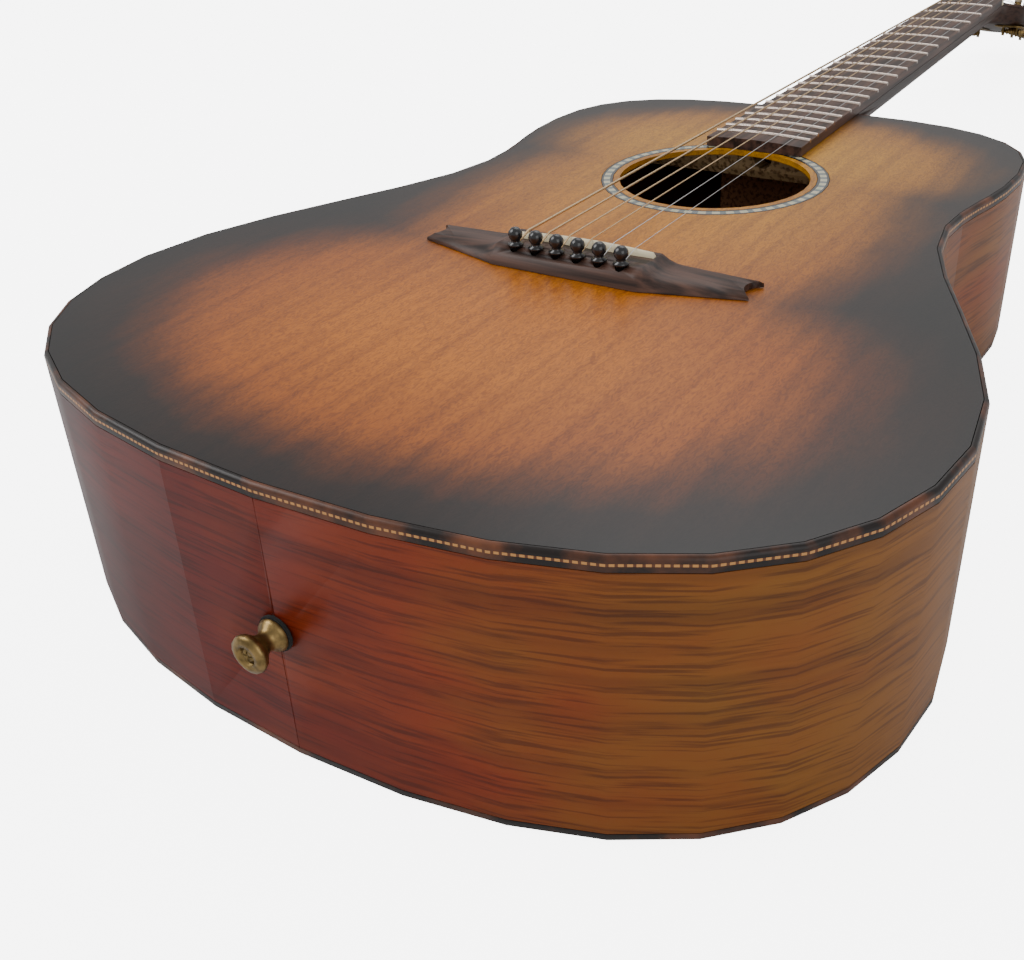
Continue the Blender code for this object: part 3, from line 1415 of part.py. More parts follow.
def add_tuners(head):
    """Six worm-and-gear machines: turning a button turns its post once in fourteen turns."""
    posts = {1: post_mesh(head)}
    posts[-1] = mirrored(posts[1])
    knobs = {1: knob_mesh()}
    knobs[-1] = mirrored(knobs[1])
    for side in (-1, 1):
        machine_plate(side, head)
    for number in range(STRING_COUNT):
        side = -1 if number < STRING_COUNT / 2 else 1
        distance = POST_DISTANCES[number if side < 0 else STRING_COUNT - 1 - number]
        place = (side * POST_X, distance, 0)
        add_piece(f"tuner_post_{number + 1}", posts[side], "antique_brass", head, place)
        knob_place = (side * POST_X, distance - WORM_DISTANCE, machine_height())
        add_piece(f"tuner_knob_{number + 1}", knobs[side], "antique_brass", head, knob_place)


def winding(number, entry):
    """The string's turns round its post, in the headstock's frame, from where it arrives."""
    radius = STRING_DIAMETERS[number] / 2
    side = -1 if number < STRING_COUNT / 2 else 1
    distance = POST_DISTANCES[number if side < 0 else STRING_COUNT - 1 - number]
    centre = Vector((-POST_X, distance))
    coil = POST_RADIUS + GAP + radius
    arriving = Vector((-side * entry[0], entry[1])) - centre
    start = math.atan2(arriving.y, arriving.x) + math.acos(coil / arriving.length)
    height = GAP + VENEER_THICKNESS + 0.0028
    points = []
    for step in range(round(WIND_TURNS * WIND_STEPS) + 1):
        turn = step / WIND_STEPS
        angle = start + turn * 2 * math.pi
        spot = centre + coil * Vector((math.cos(angle), math.sin(angle)))
        climb = height + turn * (2 * radius + WIND_SPACING)
        points.append((-side * spot.x, spot.y, climb))
    return points


def string_route(number):
    """A string's centre line from its ball end, over saddle and nut, to its post."""
    radius = STRING_DIAMETERS[number] / 2
    pin_x, nut_x = string_x(number) * PIN_SPACING, string_x(number) * NUT_STRING_SPACING
    plate_low = -TOP_UNDERSIDE - BRIDGE_PLATE_THICKNESS
    front = PIN_LINE_Y + slot_offset(radius)
    ball_y = PIN_LINE_Y + PIN_TIP_RADIUS + GAP + BALL_END_RADIUS * 1.2
    ball_z = plate_low - GAP - BALL_END_RADIUS
    over = BRIDGE_HEIGHT + GAP
    share = (SADDLE_Y - front) / (NUT_Y - front)
    saddle_x = pin_x + (nut_x - pin_x) * share
    crest_y = SADDLE_Y + math.tan(SADDLE_SLANT) * saddle_x
    crest_z = saddle_top(saddle_x) + GAP + radius
    nut_z = string_height_at_nut(number)
    route = [
        (pin_x, ball_y, ball_z),
        (pin_x, front + 0.0004, ball_z + 0.0010),
        (pin_x, front, plate_low - GAP),
        (pin_x, front, BRIDGE_HEIGHT * 0.9),
        (pin_x, front + 0.0001, over + 0.0002),
        (pin_x, front + 0.0005, over + radius + 0.0002),
        (saddle_x, crest_y - 0.0008, crest_z - 0.00015),
        (saddle_x, crest_y, crest_z),
        (saddle_x + (nut_x - saddle_x) * 0.5, (crest_y + NUT_Y) / 2, (crest_z + nut_z) / 2),
        (nut_x, NUT_Y, nut_z),
        (nut_x, HEAD_START_Y, nut_z),
    ]
    out = in_head(0, 0, 0)
    leave = Vector(route[-1]) - out
    along = Vector((0, math.cos(HEAD_ANGLE), -math.sin(HEAD_ANGLE)))
    up = Vector((0, math.sin(HEAD_ANGLE), math.cos(HEAD_ANGLE)))
    coil = winding(number, (leave.x, leave.dot(along)))
    start = (leave.x, leave.dot(along), leave.dot(up))
    for share in (0.5,):
        route.append(in_head(*(a + (b - a) * share for a, b in zip(start, coil[0]))))
    return route, [in_head(*point) for point in coil]


def least_gap(points, radius):
    """The least gap between turns that lie more than half a turn apart."""
    apart = WIND_STEPS // 2 + 1
    distances = []
    for i, here in enumerate(points):
        for there in points[i + apart :]:
            distances.append((Vector(here) - Vector(there)).length)
    return min(distances) - 2 * radius


def add_strings(guitar):
    """Six strings, each one unbroken wire from its ball end to its turns on the post."""
    for number, diameter in enumerate(STRING_DIAMETERS):
        route, coil = string_route(number)
        gap = least_gap(coil, diameter / 2)
        print(f"string_{number + 1}: least gap between its turns {gap * 1000:.2f} mm")
        finish = "bronze" if number < 4 else "plain_steel"
        piece = add_piece(f"string_{number + 1}", tube(route + coil, diameter / 2), finish, guitar)
        ball = Vector(route[0])
        half = Vector((BALL_END_WIDTH / 2, 0, 0))
        join(piece, rod(ball - half, ball + half, BALL_END_RADIUS, 10))


def lay_on_back(guitar):
    """Move the whole guitar so that it lies on its back, centred over the origin."""
    bpy.context.view_layer.update()
    graph = bpy.context.evaluated_depsgraph_get()
    corners = []
    for piece in bpy.data.collections["dreadnought_guitar"].objects:
        shape = piece.evaluated_get(graph)
        mesh = shape.to_mesh()
        corners += [shape.matrix_world @ vert.co for vert in mesh.vertices]
        shape.to_mesh_clear()
    lows = [min(corner[i] for corner in corners) for i in range(3)]
    highs = [max(corner[i] for corner in corners) for i in range(3)]
    guitar.location = (-(lows[0] + highs[0]) / 2, -(lows[1] + highs[1]) / 2, -lows[2])
    bpy.context.view_layer.update()


def main():
    start_clean()
    guitar = frame("guitar_on_its_back", turn_x=-TAPER)
    head = frame("headstock_frame", guitar, (0, HEAD_START_Y, 0), -HEAD_ANGLE)
    add_top_plate(guitar)
    add_rosette(guitar)
    add_back_plate(guitar)
    add_sides(guitar)
    add_bindings(guitar)
    add_linings(guitar)
    add_blocks(guitar)
    add_top_braces(guitar)
    add_back_braces(guitar)
    add_bridge_plate(guitar)
    add_bridge(guitar)
    add_saddle(guitar)
    add_bridge_pins(guitar)
    add_fretboard(guitar)
    add_nut(guitar)
    bpy.context.view_layer.update()
    add_neck(guitar, head)
    add_truss_rod(guitar)
    add_strap_button(guitar)
    add_tuners(head)
    add_strings(guitar)
    lay_on_back(guitar)


main()
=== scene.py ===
# %% [markdown]
# The guitar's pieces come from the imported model, each as a mesh at its own place. This script gives
# each of them its finish, adds the fret wire, and sets the floor, the lights and the camera.

# %% Load the guitar
import json
import math

import bmesh
import bpy
from mathutils import Matrix, Vector


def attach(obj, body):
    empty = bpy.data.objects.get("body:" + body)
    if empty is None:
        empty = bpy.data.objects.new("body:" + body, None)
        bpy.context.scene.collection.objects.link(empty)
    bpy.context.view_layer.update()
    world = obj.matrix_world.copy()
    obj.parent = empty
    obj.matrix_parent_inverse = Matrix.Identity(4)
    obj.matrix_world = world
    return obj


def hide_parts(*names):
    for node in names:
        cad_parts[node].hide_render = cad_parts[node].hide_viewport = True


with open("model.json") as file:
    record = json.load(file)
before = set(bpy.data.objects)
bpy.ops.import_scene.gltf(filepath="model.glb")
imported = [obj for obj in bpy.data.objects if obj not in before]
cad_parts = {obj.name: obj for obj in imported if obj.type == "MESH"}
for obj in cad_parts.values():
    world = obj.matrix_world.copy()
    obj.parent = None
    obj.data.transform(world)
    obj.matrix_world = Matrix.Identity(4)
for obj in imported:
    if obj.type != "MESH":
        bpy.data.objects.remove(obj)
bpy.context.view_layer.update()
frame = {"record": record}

# %% [markdown]
# The guitar lies on its back, which slopes against the soundboard. Every finish is laid out in the
# guitar's own frame instead: x to the treble side, y from the body joint to the head, z out of the
# soundboard. One Mapping node turns the world into that frame, so grain, burst and rings follow the
# wood and not the table.

# %% The guitar's own frame
SLOPE = math.atan2(0.024, 0.508)
FRAME_ORIGIN = Vector((0.0, -0.00408, 0.09789))
TO_GUITAR = Matrix.Rotation(SLOPE, 3, "X")


def in_world(point):
    """A point of the guitar's frame, in the world."""
    return TO_GUITAR.transposed() @ Vector(point) + FRAME_ORIGIN


# %% [markdown]
# Materials are small node trees. They could be built by hand in the shader editor, but each finish
# here needs the same start: a shader, and a coordinate in the guitar's frame. So a class makes
# both, and its short methods add noise, sums, colour ramps, mixes and bump.

# %% Helpers for finishes
COAT_ROUGHNESS = 0.25


class Finish:
    """A material that is being built, with its shader and its coordinates."""

    def __init__(self, name, roughness, metallic=0.0, coat=0.0, specular=0.5):
        self.material = bpy.data.materials.new(name)
        self.material.use_nodes = True
        self.tree = self.material.node_tree
        self.shader = self.tree.nodes["Principled BSDF"]
        self.shader.inputs["Roughness"].default_value = roughness
        self.shader.inputs["Metallic"].default_value = metallic
        self.shader.inputs["Specular IOR Level"].default_value = specular
        self.shader.inputs["Coat Weight"].default_value = coat
        self.shader.inputs["Coat Roughness"].default_value = COAT_ROUGHNESS
        coordinates = self.add("ShaderNodeTexCoord")
        mapping = self.add("ShaderNodeMapping")
        mapping.inputs["Rotation"].default_value = (SLOPE, 0, 0)
        mapping.inputs["Location"].default_value = -(TO_GUITAR @ FRAME_ORIGIN)
        self.link(coordinates.outputs["Object"], mapping.inputs["Vector"])
        self.place = mapping.outputs["Vector"]

    def add(self, kind, **settings):
        node = self.tree.nodes.new(kind)
        for name, value in settings.items():
            setattr(node, name, value)
        return node

    def link(self, output, socket):
        self.tree.links.new(output, socket)

    def stretched(self, scale):
        node = self.add("ShaderNodeVectorMath", operation="MULTIPLY")
        self.link(self.place, node.inputs[0])
        node.inputs[1].default_value = scale
        return node.outputs[0]

    def noise(self, scale, stretch=(1, 1, 1), detail=4.0, distortion=0.0):
        node = self.add("ShaderNodeTexNoise")
        node.inputs["Scale"].default_value = scale
        node.inputs["Detail"].default_value = detail
        node.inputs["Distortion"].default_value = distortion
        self.link(self.stretched(stretch), node.inputs["Vector"])
        return node.outputs["Fac"]

    def math(self, operation, one, other=0.0):
        node = self.add("ShaderNodeMath", operation=operation)
        for value, socket in ((one, node.inputs[0]), (other, node.inputs[1])):
            if isinstance(value, (int, float)):
                socket.default_value = value
            else:
                self.link(value, socket)
        return node.outputs[0]

    def ramp(self, value, stops):
        node = self.add("ShaderNodeValToRGB")
        elements = node.color_ramp.elements
        while len(elements) < len(stops):
            elements.new(0.5)
        for element, (place, colour) in zip(elements, stops):
            element.position = place
            element.color = (*colour, 1)
        self.link(value, node.inputs["Fac"])
        return node.outputs["Color"]

    def mix(self, share, one, other, blend="MIX"):
        node = self.add("ShaderNodeMix", data_type="RGBA", blend_type=blend)
        for value, socket in ((share, node.inputs[0]), (one, node.inputs[6]), (other, node.inputs[7])):
            if isinstance(value, (int, float)):
                socket.default_value = value
            elif isinstance(value, tuple):
                socket.default_value = (*value, 1)
            else:
                self.link(value, socket)
        return node.outputs[2]

    def darken(self, share, colour, pattern, dark, start, end):
        """The colour, times a shade that goes from dark to white as the pattern goes from start to end."""
        shade = self.ramp(pattern, ((start, dark), (end, (1, 1, 1))))
        return self.mix(share, colour, shade, "MULTIPLY")

    def length(self, one, other):
        """The length of the two sides' diagonal."""
        squares = self.math("ADD", self.math("MULTIPLY", one, one), self.math("MULTIPLY", other, other))
        return self.math("SQRT", squares)

    def colour(self, value):
        self.link(value, self.shader.inputs["Base Color"])

    def bump(self, height, depth, strength=0.4):
        node = self.add("ShaderNodeBump")
        node.inputs["Distance"].default_value = depth
        node.inputs["Strength"].default_value = strength
        self.link(height, node.inputs["Height"])
        self.link(node.outputs["Normal"], self.shader.inputs["Normal"])


# %% [markdown]
# The soundboard is figured wood under a sunburst: amber in the middle, yellower towards the neck,
# and nearly black at the edge. A painted map could follow the outline exactly, but would be tied to
# one size of picture. Here three ellipses stand in for the outline, one in each bout and one
# through the waist, of which the nearest counts. Fine squiggly flecks and darker streaks along the
# grain lie over it.

# %% Sunburst soundboard
LOWER_ELLIPSE = ((0, -0.372), (0.198, 0.140))
WAIST_ELLIPSE = ((0, -0.215), (0.150, 0.215))
UPPER_ELLIPSE = ((0, -0.098), (0.158, 0.108))
RAGGEDNESS = 0.16
YELLOW_START = 0.34
YELLOW_RATE = 4.5


def nearness(finish, ellipse):
    """One in the middle of an ellipse, falling to nought at its edge."""
    (cx, cy), (rx, ry) = ellipse
    parts = finish.add("ShaderNodeSeparateXYZ")
    finish.link(finish.place, parts.inputs[0])
    across = finish.math("DIVIDE", finish.math("SUBTRACT", parts.outputs[0], cx), rx)
    along = finish.math("DIVIDE", finish.math("SUBTRACT", parts.outputs[1], cy), ry)
    return finish.math("SUBTRACT", 1.0, finish.length(across, along))


def sunburst():
    wood = Finish("sunburst_top", 0.36, coat=0.1, specular=0.4)
    inner = wood.math("MAXIMUM", nearness(wood, LOWER_ELLIPSE), nearness(wood, WAIST_ELLIPSE))
    inner = wood.math("MAXIMUM", inner, nearness(wood, UPPER_ELLIPSE))
    ragged = wood.math("MULTIPLY", wood.noise(60, (1, 0.25, 1)), RAGGEDNESS)
    burst = wood.math("ADD", inner, wood.math("SUBTRACT", ragged, RAGGEDNESS / 2))
    shade = wood.ramp(
        burst,
        (
            (0.0, (0.006, 0.003, 0.002)),
            (0.12, (0.018, 0.006, 0.003)),
            (0.22, (0.09, 0.020, 0.001)),
            (0.38, (0.34, 0.085, 0.0005)),
            (0.75, (0.50, 0.145, 0.0005)),
        ),
    )
    parts = wood.add("ShaderNodeSeparateXYZ")
    wood.link(wood.place, parts.inputs[0])
    towards_neck = wood.math("MULTIPLY", wood.math("ADD", parts.outputs[1], YELLOW_START), YELLOW_RATE)
    yellower = wood.ramp(towards_neck, ((0.0, (1, 1, 1)), (1.0, (1.1, 1.7, 2.0))))
    shade = wood.mix(1.0, shade, yellower, "MULTIPLY")
    flecks = wood.noise(620, (1, 0.3, 1), detail=3, distortion=2.0)
    streaks = wood.noise(160, (1, 0.035, 1), detail=6)
    shade = wood.darken(0.75, shade, flecks, (0.5, 0.42, 0.36), 0.36, 0.58)
    shade = wood.darken(0.4, shade, streaks, (0.45, 0.36, 0.3), 0.36, 0.55)
    wood.colour(shade)
    wood.bump(flecks, 0.0001, 0.25)
    return wood.material


# %% [markdown]
# Back, neck, blocks and braces are straight-grained wood with long dark pores. One function serves
# them all: the noise is drawn out along y, as their grain runs, and two colours are given for each
# kind of wood.

# %% Straight-grained wood
ALONG_BODY = (1, 0.05, 1)


def mahogany(name, dark, light, roughness=0.42):
    wood = Finish(name, roughness, specular=0.22)
    tone = wood.ramp(wood.noise(9, (1, 0.5, 3)), ((0.3, dark), (0.7, light)))
    pores = wood.noise(420, ALONG_BODY, detail=3)
    tone = wood.darken(0.8, tone, pores, (0.3, 0.2, 0.16), 0.38, 0.52)
    wood.colour(tone)
    wood.bump(pores, 0.0001, 0.2)
    return wood.material


# %% [markdown]
# The rim's lacquer has light and shade painted into its colour: maroon, as painted shade, on the
# bass side, deep red at the tail, and golden brown, as painted light, where the treble side turns.
# Distance across the body sets the colour, and noise keeps the change from being even. The grain
# is level all the way round, so its noise is drawn out along both x and y.

# %% Rim lacquer with painted light and shade
HALF_WIDTH = 0.1985
CLOUDINESS = 0.5
ROUND_RIM = (0.04, 0.04, 1)
RIM_STREAKS = (0.03, 0.03, 1)


def rim_with_painted_light():
    wood = Finish("rim_lacquer_and_painted_light", 0.38, specular=0.25)
    parts = wood.add("ShaderNodeSeparateXYZ")
    wood.link(wood.place, parts.inputs[0])
    across = wood.math("ADD", wood.math("DIVIDE", parts.outputs[0], 2 * HALF_WIDTH), 0.5)
    clouds = wood.math("MULTIPLY", wood.math("SUBTRACT", wood.noise(14, (1, 0.5, 2)), 0.5), CLOUDINESS)
    # Painted shade on the bass side and painted light where the treble side turns, set by distance across
    # the body
    tone = wood.ramp(
        wood.math("ADD", across, clouds),
        (
            (0.05, (0.030, 0.003, 0.003)),
            (0.42, (0.13, 0.008, 0.003)),
            (0.66, (0.22, 0.030, 0.004)),
            (0.92, (0.22, 0.080, 0.009)),
        ),
    )
    pores = wood.noise(700, ROUND_RIM, detail=3)
    streaks = wood.noise(110, RIM_STREAKS, detail=5)
    tone = wood.darken(0.6, tone, pores, (0.3, 0.2, 0.16), 0.36, 0.5)
    tone = wood.darken(0.45, tone, streaks, (0.35, 0.25, 0.2), 0.32, 0.5)
    wood.colour(tone)
    wood.bump(pores, 0.00005, 0.2)
    return wood.material


# %% [markdown]
# The binding is black, worn to copper in places, with one tan line along it. Thin strips of wood
# could be modelled for the line, but at a millimetre high it reads as colour. Height below the
# soundboard sets the line, and the angle round a point in the middle of the body breaks it into
# fine dashes.

# %% Lined binding
LINE_TOP = -0.0024
LINE_FOOT = -0.0034
DASHES = 620
DASH_SHARE = -0.4
BODY_MIDDLE = 0.25


def lined_binding():
    edge = Finish("lined_binding", 0.36, specular=0.3)
    parts = edge.add("ShaderNodeSeparateXYZ")
    edge.link(edge.place, parts.inputs[0])
    height = parts.outputs[2]
    in_line = edge.math("MULTIPLY", edge.math("LESS_THAN", height, LINE_TOP),
                        edge.math("GREATER_THAN", height, LINE_FOOT))
    angle = edge.math("ARCTAN2", parts.outputs[0], edge.math("ADD", parts.outputs[1], BODY_MIDDLE))
    dash = edge.math("GREATER_THAN", edge.math("SINE", edge.math("MULTIPLY", angle, DASHES)), DASH_SHARE)
    wear = edge.noise(45, detail=6)
    worn = edge.ramp(wear, ((0.45, (0.014, 0.010, 0.009)), (0.68, (0.16, 0.055, 0.025))))
    tan = edge.mix(dash, (0.12, 0.045, 0.02), (0.50, 0.24, 0.08))
    edge.colour(edge.mix(in_line, worn, tan))
    return edge.material


# %% [markdown]
# Bridge, fretboard and head veneer are rosewood: nearly black, with brown streaks along the grain.
# On the bridge they run across the body and on the fretboard along it, so the direction is an input
# of the function.

# %% Rosewood
def rosewood(name, stretch):
    wood = Finish(name, 0.45, specular=0.3)
    streaks = wood.noise(300, stretch, detail=6)
    wood.colour(wood.ramp(streaks, ((0.35, (0.018, 0.010, 0.008)), (0.65, (0.10, 0.05, 0.035)))))
    wood.bump(streaks, 0.0001, 0.3)
    return wood.material


# %% [markdown]
# The rosette is an inlay: a band of shell segments between two dark rings. Fifty-two pieces of
# shell could be cut and set, but they are flush with the wood, so colour is enough. Distance from
# the hole's centre sets the rings, and the angle round it sets the segments, with noise for the
# shell's play of colour.

# %% Rosette inlay
HOLE_Y = -0.150
BAND_INNER = 0.0558
BAND_OUTER = 0.0592
SEGMENTS = 52


def inlay():
    shell = Finish("rosette_inlay", 0.22, coat=0.6)
    parts = shell.add("ShaderNodeSeparateXYZ")
    shell.link(shell.place, parts.inputs[0])
    x, y = parts.outputs[0], shell.math("SUBTRACT", parts.outputs[1], HOLE_Y)
    distance = shell.length(x, y)
    angle = shell.math("ARCTAN2", y, x)
    wave = shell.math("SINE", shell.math("MULTIPLY", angle, SEGMENTS))
    segments = shell.ramp(wave, ((0.0, (0.62, 0.55, 0.36)), (0.35, (0.16, 0.18, 0.17))))
    play = shell.ramp(shell.noise(500), ((0.35, (0.5, 0.75, 0.7)), (0.65, (1.0, 0.85, 0.95))))
    band = shell.mix(0.7, segments, play, "MULTIPLY")
    inside = shell.math("MULTIPLY", shell.math("GREATER_THAN", distance, BAND_INNER),
                        shell.math("LESS_THAN", distance, BAND_OUTER))
    shell.colour(shell.mix(inside, (0.012, 0.010, 0.009), band))
    return shell.material


# %% [markdown]
# Small pieces share a few plain finishes with a little unevenness: bone, black plastic, aged brass
# and steel. The wound strings show their winding as a fine wave along their length, which costs
# nothing beside a modelled coil; the wave's dark bands are painted shade in the grooves between turns.

# %% Bone, plastic and metal
WINDING_SCALE = 700


def uneven(name, colour, roughness, metallic=0.0, scale=300, depth=0.25, coat=0.0):
    finish = Finish(name, roughness, metallic, coat)
    dark = tuple(part * (1 - depth) for part in colour)
    finish.colour(finish.ramp(finish.noise(scale), ((0.35, dark), (0.65, colour))))
    finish.bump(finish.noise(scale * 4), 0.00005, 0.15)
    return finish.material


def winding():
    metal = Finish("bronze_winding", 0.32, 0.9)
    wave = metal.add("ShaderNodeTexWave", bands_direction="Y")
    wave.inputs["Scale"].default_value = WINDING_SCALE
    metal.link(metal.place, wave.inputs["Vector"])
    # Bright bands are the bronze; dark bands are painted shade in the grooves between turns
    metal.colour(metal.ramp(wave.outputs["Fac"], ((0.1, (0.30, 0.18, 0.09)), (0.7, (0.85, 0.62, 0.36)))))
    metal.bump(wave.outputs["Fac"], 0.0001, 0.5)
    return metal.material


# %% [markdown]
# The record gives each piece a slot name, so one table of finishes serves them all. Two pieces
# share a slot with others but have a grain of their own, and stand in a second table.

# %% Table of finishes
finishes = {
    "top": sunburst(),
    "side": rim_with_painted_light(),
    "spruce": mahogany("bare_spruce", (0.52, 0.34, 0.16), (0.70, 0.50, 0.27), 0.8),
    "mahogany": mahogany("bare_mahogany", (0.26, 0.11, 0.05), (0.42, 0.20, 0.10), 0.75),
    "binding": lined_binding(),
    "rosette": inlay(),
    "rosewood": rosewood("rosewood_along", (1, 0.05, 1)),
    "bone": uneven("bone", (0.80, 0.70, 0.47), 0.4, scale=120, depth=0.12),
    "pin": uneven("pin_black", (0.014, 0.014, 0.016), 0.2, coat=0.3),
    "bronze": winding(),
    "plain_steel": uneven("plain_wire", (0.62, 0.62, 0.62), 0.28, 1.0, depth=0.1),
    "neck": mahogany("neck_lacquer", (0.015, 0.008, 0.006), (0.06, 0.026, 0.016)),
    "antique_brass": uneven("antique_brass", (0.30, 0.20, 0.075), 0.36, 0.9, depth=0.5),
    "steel": uneven("dark_steel", (0.3, 0.3, 0.31), 0.4, 0.9),
    "felt": uneven("felt", (0.02, 0.02, 0.02), 0.95, scale=1500, depth=0.5),
}
own_finish = {
    "bridge": rosewood("rosewood_across", (0.05, 1, 1)),
    "back_plate": mahogany("back_gloss", (0.07, 0.010, 0.005), (0.24, 0.055, 0.012)),
}

# %% [markdown]
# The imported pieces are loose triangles, shaded flat. Flat and hidden pieces keep their own mesh and
# take their finish in its first slot. The bent, turned and carved ones are copied, the copy's
# points are merged, and it is shaded smooth up to an angle, so that light runs evenly round the
# rim, the neck, the pins and the machines.

# %% Dress every piece
ROUND_STARTS = (
    "side_", "top_binding", "back_binding", "back_plate", "neck", "bridge", "saddle",
    "string_", "tuner_", "strap_", "rosette", "heel_cap", "truss_rod_nut",
)
FLAT_NODES = ("neck_block", "bridge_plate")
SMOOTH_UP_TO = math.radians(38)
MERGE_DISTANCE = 0.000002


def smooth_copy(node, finish, body):
    """A smooth-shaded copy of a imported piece, which stands in its place."""
    shape = bmesh.new()
    shape.from_mesh(bpy.data.objects[node].data)
    bmesh.ops.remove_doubles(shape, verts=shape.verts, dist=MERGE_DISTANCE)
    data = bpy.data.meshes.new(f"{node}_finished")
    shape.to_mesh(data)
    shape.free()
    data.materials.clear()
    data.materials.append(finish)
    data.shade_smooth()
    data.set_sharp_from_angle(angle=SMOOTH_UP_TO)
    copy = bpy.data.objects.new(f"{node}_finished", data)
    bpy.context.scene.collection.objects.link(copy)
    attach(copy, body)
    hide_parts(node)


bodies = frame["record"]["behaviour"]["bodies"]
body_of_node = {node: body for body, nodes in bodies.items() for node in nodes}
for entry in frame["record"]["subparts"]:
    node, slot = entry["node"], entry["material_slot"]
    finish = own_finish.get(node, finishes[slot])
    if node.startswith(ROUND_STARTS) and node not in FLAT_NODES:
        smooth_copy(node, finish, body_of_node[node])
    else:
        piece = bpy.data.objects[node]
        piece.data.materials.clear()
        piece.data.materials.append(finish)

# %% [markdown]
# Fret wire is a row of metal bars that follows the scale: each fret stands at the scale length
# times a power of two from the nut. One bar on twenty points is what Geometry Nodes do best: a bar
# with an oval section is set on each point, drawn out to the board's width there, and then bent
# down at its ends by the board's crown.

# %% Fret points
SCALE = 0.648
NUT_Y = SCALE * (1 - 2 ** (-14 / 12))
FRETS = 20
NUT_HALF = 0.0215
TWELFTH_HALF = 0.0265
BOARD_TOP = 0.0065
BOARD_RADIUS = 0.406
WIRE_HALF_WIDTH = 0.0013
WIRE_HEIGHT = 0.00125
BAR_SIDES = 12
BAR_RINGS = 16


def fret_points():
    """One point for each fret, with half the width of the board there as its half_length."""
    rows = [NUT_Y - SCALE * (1 - 2 ** (-number / 12)) for number in range(1, FRETS + 1)]
    data = bpy.data.meshes.new("fret_points")
    data.from_pydata([(0, y, BOARD_TOP) for y in rows], [], [])
    lengths = data.attributes.new("half_length", "FLOAT", "POINT")
    for place, y in enumerate(rows):
        lengths.data[place].value = NUT_HALF + (TWELFTH_HALF - NUT_HALF) * (NUT_Y - y) / (SCALE / 2)
    return data


# %% [markdown]
# The tree has its sizes as named inputs. The bar is a cylinder with rings along it, so that the
# crown can bend it, and the bend is a drop that grows with the square of the distance from the
# middle of the board.

# %% Fret tree
def fret_tree(metal):
    tree = bpy.data.node_groups.new("fret_row", "GeometryNodeTree")
    face = tree.interface
    face.new_socket("Geometry", in_out="INPUT", socket_type="NodeSocketGeometry")
    sizes = (("Half Width", WIRE_HALF_WIDTH), ("Height", WIRE_HEIGHT), ("Crown Radius", BOARD_RADIUS))
    for title, value in sizes:
        face.new_socket(title, in_out="INPUT", socket_type="NodeSocketFloat").default_value = value
    face.new_socket("Geometry", in_out="OUTPUT", socket_type="NodeSocketGeometry")

    def add(kind, **settings):
        node = tree.nodes.new(kind)
        for name, value in settings.items():
            setattr(node, name, value)
        return node

    link = tree.links.new
    given = add("NodeGroupInput")
    bar = add("GeometryNodeMeshCylinder")
    bar.inputs["Vertices"].default_value = BAR_SIDES
    bar.inputs["Side Segments"].default_value = BAR_RINGS
    bar.inputs["Radius"].default_value = 1
    bar.inputs["Depth"].default_value = 2
    section = add("ShaderNodeCombineXYZ")
    section.inputs["Z"].default_value = 1
    link(given.outputs["Height"], section.inputs["X"])
    link(given.outputs["Half Width"], section.inputs["Y"])
    lay = add("GeometryNodeTransform")
    lay.inputs["Rotation"].default_value = (0, math.pi / 2, 0)
    link(bar.outputs["Mesh"], lay.inputs["Geometry"])
    link(section.outputs[0], lay.inputs["Scale"])
    reach = add("GeometryNodeInputNamedAttribute", data_type="FLOAT")
    reach.inputs["Name"].default_value = "half_length"
    stretch = add("ShaderNodeCombineXYZ")
    stretch.inputs["Y"].default_value = 1
    stretch.inputs["Z"].default_value = 1
    link(reach.outputs["Attribute"], stretch.inputs["X"])
    row = add("GeometryNodeInstanceOnPoints")
    link(given.outputs["Geometry"], row.inputs["Points"])
    link(lay.outputs["Geometry"], row.inputs["Instance"])
    link(stretch.outputs[0], row.inputs["Scale"])
    real = add("GeometryNodeRealizeInstances")
    link(row.outputs["Instances"], real.inputs["Geometry"])
    spot = add("ShaderNodeSeparateXYZ")
    link(add("GeometryNodeInputPosition").outputs[0], spot.inputs[0])
    square = add("ShaderNodeMath", operation="MULTIPLY")
    link(spot.outputs["X"], square.inputs[0])
    link(spot.outputs["X"], square.inputs[1])
    share = add("ShaderNodeMath", operation="DIVIDE")
    link(square.outputs[0], share.inputs[0])
    link(given.outputs["Crown Radius"], share.inputs[1])
    drop = add("ShaderNodeMath", operation="MULTIPLY")
    drop.inputs[1].default_value = -0.5
    link(share.outputs[0], drop.inputs[0])
    offset = add("ShaderNodeCombineXYZ")
    link(drop.outputs[0], offset.inputs["Z"])
    bend = add("GeometryNodeSetPosition")
    link(real.outputs["Geometry"], bend.inputs["Geometry"])
    link(offset.outputs[0], bend.inputs["Offset"])
    dress = add("GeometryNodeSetMaterial")
    dress.inputs["Material"].default_value = metal
    link(bend.outputs["Geometry"], dress.inputs["Geometry"])
    link(dress.outputs["Geometry"], add("NodeGroupOutput").inputs[0])
    return tree


# %% [markdown]
# The tree's result is made a plain mesh, turned into the world, and rides the body, as a fret that
# is pressed in does. The tree leaves an empty material slot before the metal, so the slots are set
# once more here.

# %% Fret wire
def fret_wire():
    metal = uneven("fret_metal", (0.72, 0.60, 0.52), 0.25, 1.0, depth=0.1)
    source = bpy.data.objects.new("fret_source", fret_points())
    bpy.context.scene.collection.objects.link(source)
    source.modifiers.new("row", "NODES").node_group = fret_tree(metal)
    evaluated = source.evaluated_get(bpy.context.evaluated_depsgraph_get())
    data = bpy.data.meshes.new_from_object(evaluated)
    data.name = "fret_wire"
    data.transform(Matrix.Translation(FRAME_ORIGIN) @ TO_GUITAR.transposed().to_4x4())
    data.materials.clear()
    data.materials.append(metal)
    data.polygons.foreach_set("material_index", [0] * len(data.polygons))
    bpy.data.objects.remove(source)
    data.shade_smooth()
    data.set_sharp_from_angle(angle=SMOOTH_UP_TO)
    wires = bpy.data.objects.new("fret_wire", data)
    bpy.context.scene.collection.objects.link(wires)
    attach(wires, "root")
    return wires


print("fret wire", len(fret_wire().data.polygons), "faces")

